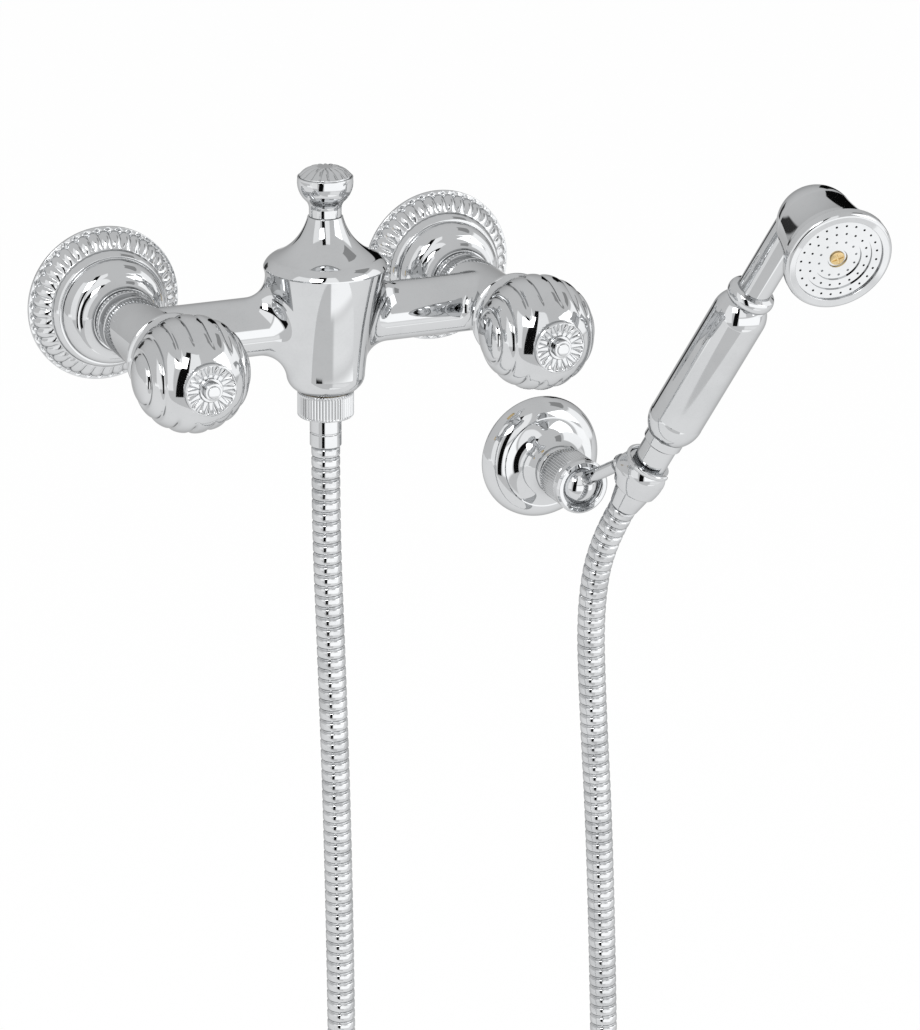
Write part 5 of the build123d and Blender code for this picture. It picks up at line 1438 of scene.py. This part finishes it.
FINISHES = (
    Finish(Slot.CHROME, (0.65, 0.66, 0.67), (0.62, 0.63, 0.64), 1.0, 0.03, 0.03, 0.02, 0.0012, 1e-7,
           edge=0.55),
    Finish(Slot.HOSE, (0.66, 0.67, 0.68), (0.56, 0.57, 0.58), 1.0, 0.06, 0.08, 0.012, 0.0008, 4e-7,
           edge=0.55),
    Finish(Slot.BRASS, (0.76, 0.58, 0.30), (0.62, 0.46, 0.24), 1.0, 0.18, 0.15, 0.006, 0.0006, 2e-6),
    Finish(Slot.STEEL, (0.60, 0.61, 0.62), (0.48, 0.49, 0.50), 1.0, 0.3, 0.15, 0.008, 0.0006, 2e-6),
    Finish(Slot.RUBBER, (0.035, 0.035, 0.036), (0.055, 0.055, 0.055), 0.0, 0.62, 0.2, 0.006, 0.0004, 8e-6),
    Finish(Slot.PLASTIC, (0.85, 0.85, 0.83), (0.80, 0.80, 0.77), 0.0, 0.38, 0.12, 0.01, 0.0005, 3e-6),
    Finish(Slot.CERAMIC, (0.90, 0.89, 0.86), (0.86, 0.85, 0.82), 0.0, 0.12, 0.08, 0.008, 0.0004, 1e-6, 0.5),
)


def dress_cad_nodes(finishes: Finishes) -> None:
    """Give every CAD node the finish of its own slot.

    Args:
        finishes: the finished materials by slot.
    """
    slots = {row["node"]: Slot(row["material_slot"]) for row in frame["record"]["subparts"]}
    for name, item in frame["nodes"].items():
        for place in item.material_slots:
            place.material = finishes[slots[name]]
    log.info("finishes on %d CAD nodes", len(slots))


# Studio


@dataclass(frozen=True)
class Card:
    """A patch of the studio that polished metal reflects: where it lies and how bright it is.

    Args:
        azimuth: degrees from straight in front of the wall, to the right as one faces the wall.
        elevation: degrees up.
        wide: half its width in degrees.
        high: half its height in degrees.
        level: its brightness.
        lean: degrees of azimuth for each degree up.
        soft: width of its edge in degrees.
    """

    azimuth: float
    elevation: float
    wide: float
    high: float
    level: float
    lean: float = 0.0
    soft: float = 2.0


@dataclass(frozen=True)
class Lamp:
    """A soft square lamp.

    Args:
        name: its name.
        place: where it hangs, in metres.
        size: its side, in metres.
        power: its power in watts.
    """

    name: str
    place: tuple[float, ...]
    size: float
    power: float

    def hang(self, aim: tuple[float, ...]) -> None:
        """Make the lamp and turn it to what it lights.

        Args:
            aim: the place that it is turned to, in metres.
        """
        data = bpy.data.lights.new(self.name, "AREA")
        data.size = self.size
        data.energy = self.power
        item = bpy.data.objects.new(self.name, data)
        item.location = self.place
        item.rotation_euler = (Vector(aim) - Vector(self.place)).to_track_quat("-Z", "Y").to_euler()
        bpy.context.scene.collection.objects.link(item)


@dataclass(frozen=True)
class PhotoCamera:
    """The camera fitted to the photograph: 23.5 degrees to the left, 19.4 up and about 2 m away.

    Args:
        place: where it stands, in metres.
        forward: the way that it looks.
        right: its right, level.
        up: its up, square to both.
        roll: how far it is rolled about the way that it looks, in degrees.
        lens: its focal length in millimetres.
        sensor: its sensor's width in millimetres.
        farthest: how far it sees, in metres.
    """

    place: tuple[float, ...] = (-0.69526, -1.8028, 0.58348)
    forward: tuple[float, ...] = (0.37564, 0.86547, -0.33143)
    right: tuple[float, ...] = (0.91732, -0.39814, 0.0)
    up: tuple[float, ...] = (0.13196, 0.30403, 0.94348)
    roll: float = 0.445
    lens: float = 167.2
    sensor: float = 36.0
    farthest: float = 100.0

    def build(self) -> None:
        """Make the camera and give it to the scene."""
        forward, right, up = Vector(self.forward), Vector(self.right), Vector(self.up)
        roll = radians(self.roll)
        across = right * cos(roll) + up * sin(roll)
        above = up * cos(roll) - right * sin(roll)
        data = bpy.data.cameras.new("photo_camera")
        data.lens = self.lens
        data.sensor_width = self.sensor
        data.clip_end = self.farthest
        item = bpy.data.objects.new("photo_camera", data)
        turned = Matrix((across, above, -forward)).transposed().to_4x4()
        turned.translation = Vector(self.place)
        item.matrix_world = turned
        bpy.context.scene.collection.objects.link(item)
        bpy.context.scene.camera = item


@dataclass
class Studio:
    """A pale floor, a pale room and plain soft lamps."""

    floor_z: float = -0.67
    floor_sides: tuple[float, ...] = (-3.0, 5.0, -0.6, 6.0)     # left, right, near and far
    floor_white: float = 0.9      # share of plain white that the camera and metal see on the floor
    floor_colour: tuple[float, ...] = (0.9, 0.9, 0.9, 1.0)
    white: tuple[float, ...] = (1.0, 1.0, 1.0, 1.0)
    room: float = 0.74            # brightness of the room in metal, between the cards
    lit: tuple[float, ...] = (0.05, -0.06, -0.05)               # where the lamps are turned to
    lamps: tuple[Lamp, ...] = (
        Lamp("key_lamp", (-1.3, -1.6, 1.5), 0.9, 14.0), Lamp("fill_lamp", (1.5, -1.3, 0.8), 1.1, 6.0))
    cards: tuple[Card, ...] = (
        Card(-70, 16, 18, 34, 1.15, soft=3.0),
        Card(-14, 32, 20, 26, 1.2, soft=3.0),
        Card(48, -36, 52, 12, 1.1, soft=9.0),
        Card(22, -12, 50, 17, 1.45, soft=4.0),
        Card(80, 14, 22, 22, 1.35, soft=4.0),
        Card(92, 50, 20, 10, 0.35),
        Card(22, -54, 32, 12, 1.35, soft=4.0),
        Card(-88, -16, 14, 9, 1.35, soft=4.0),
        Card(110, -40, 7, 8, 0.3),
        Card(130, -30, 11, 7, 1.4),
        Card(-34, 15, 10, 44, 0.005, lean=0.16, soft=1.0),
        Card(118, -12, 3, 22, 0.02, soft=1.0),
        Card(145, 12, 6, 20, 0.005, soft=1.0),
        Card(-168, -14, 8, 26, 0.05, soft=3.0),
    )

    def floor(self) -> None:
        """A plain floor, white to the camera and in metal, that keeps the object's shadow."""
        left, right, near, far = self.floor_sides
        mesh = bpy.data.meshes.new("studio_floor")
        mesh.from_pydata([(left, near, self.floor_z), (right, near, self.floor_z),
                          (right, far, self.floor_z), (left, far, self.floor_z)], [], [(0, 1, 2, 3)])
        item = bpy.data.objects.new("studio_floor", mesh)
        bpy.context.scene.collection.objects.link(item)
        made = bpy.data.materials.new("studio_floor")
        made.use_nodes = True
        graph = Graph(made.node_tree)
        plain = graph.node("ShaderNodeBsdfDiffuse", {}, {"Color": self.floor_colour})
        white = graph.node("ShaderNodeEmission", {}, {"Color": self.white, "Strength": 1.0})
        seen, mirrored, through = (graph.node("ShaderNodeLightPath", {}, {}, ray) for ray in (
            "Is Camera Ray", "Is Glossy Ray", "Is Transmission Ray"))
        share = seen.larger(mirrored).larger(through) * self.floor_white
        surface = graph.node("ShaderNodeMixShader", {}, {0: share, 1: plain, 2: white})
        graph.node("ShaderNodeOutputMaterial", {}, {"Surface": surface})
        mesh.materials.append(made)

    def surroundings(self) -> None:
        """A pale room: even light on the object, and cards of light and dark for its polish.

        A direction's azimuth is the arctangent of x over -y and its elevation the arcsine of z.
        A card's share is the product of soft steps inside its width and its height.
        """
        world = bpy.data.worlds.new("studio")
        world.use_nodes = True
        bpy.context.scene.world = world
        graph = Graph(world.node_tree)
        way = graph.node("ShaderNodeTexCoord", {}, {}, "Generated")
        x, y, z = (graph.node("ShaderNodeSeparateXYZ", {}, {"Vector": way}, axis) for axis in "XYZ")
        azimuth = x.math("ARCTAN2", x, y * -1.0) * degrees(1)
        elevation = z.math("ARCSINE", z) * degrees(1)
        level: Any = self.room
        for card in self.cards:
            above = elevation - card.elevation
            beside = azimuth - card.azimuth - above * card.lean
            inside = [graph.node("ShaderNodeMapRange", {"interpolation_type": "SMOOTHSTEP"}, {
                "Value": away.math("ABSOLUTE", away), "From Min": half - card.soft, "From Max": half,
                "To Min": 1.0, "To Max": 0.0}) for away, half in ((beside, card.wide), (above, card.high))]
            share = inside[0] * inside[1]
            level = (1 - share) * level + share * card.level
        mirrored = graph.node("ShaderNodeLightPath", {}, {}, "Is Glossy Ray")
        surface = graph.node("ShaderNodeBackground", {}, {
            "Color": self.white, "Strength": level * mirrored + (1 - mirrored)})
        graph.node("ShaderNodeOutputWorld", {}, {"Surface": surface})

    def build(self) -> None:
        """Set up floor, surroundings, lamps and camera."""
        bpy.context.scene.view_settings.view_transform = "Standard"
        self.floor()
        self.surroundings()
        for lamp in self.lamps:
            lamp.hang(self.lit)
        PhotoCamera().build()


def main() -> None:
    """Build the pieces in order, dress what stays of the CAD model and set up the studio."""
    logging.basicConfig(level=logging.INFO, format="%(name)s: %(message)s")
    finishes = {finish.slot: finish.material() for finish in FINISHES}
    Studio().build()
    Hose().dress(finishes)
    MixerBody().dress(finishes)
    Finial().dress(finishes)
    for side in ("left", "right"):
        Inlet(side).dress(finishes)
        BallHandle(side).dress(finishes)
    Bracket().dress(finishes)
    Cradle().dress(finishes)
    HandShower().dress(finishes)
    dress_cad_nodes(finishes)


if __name__ == "__main__":
    main()
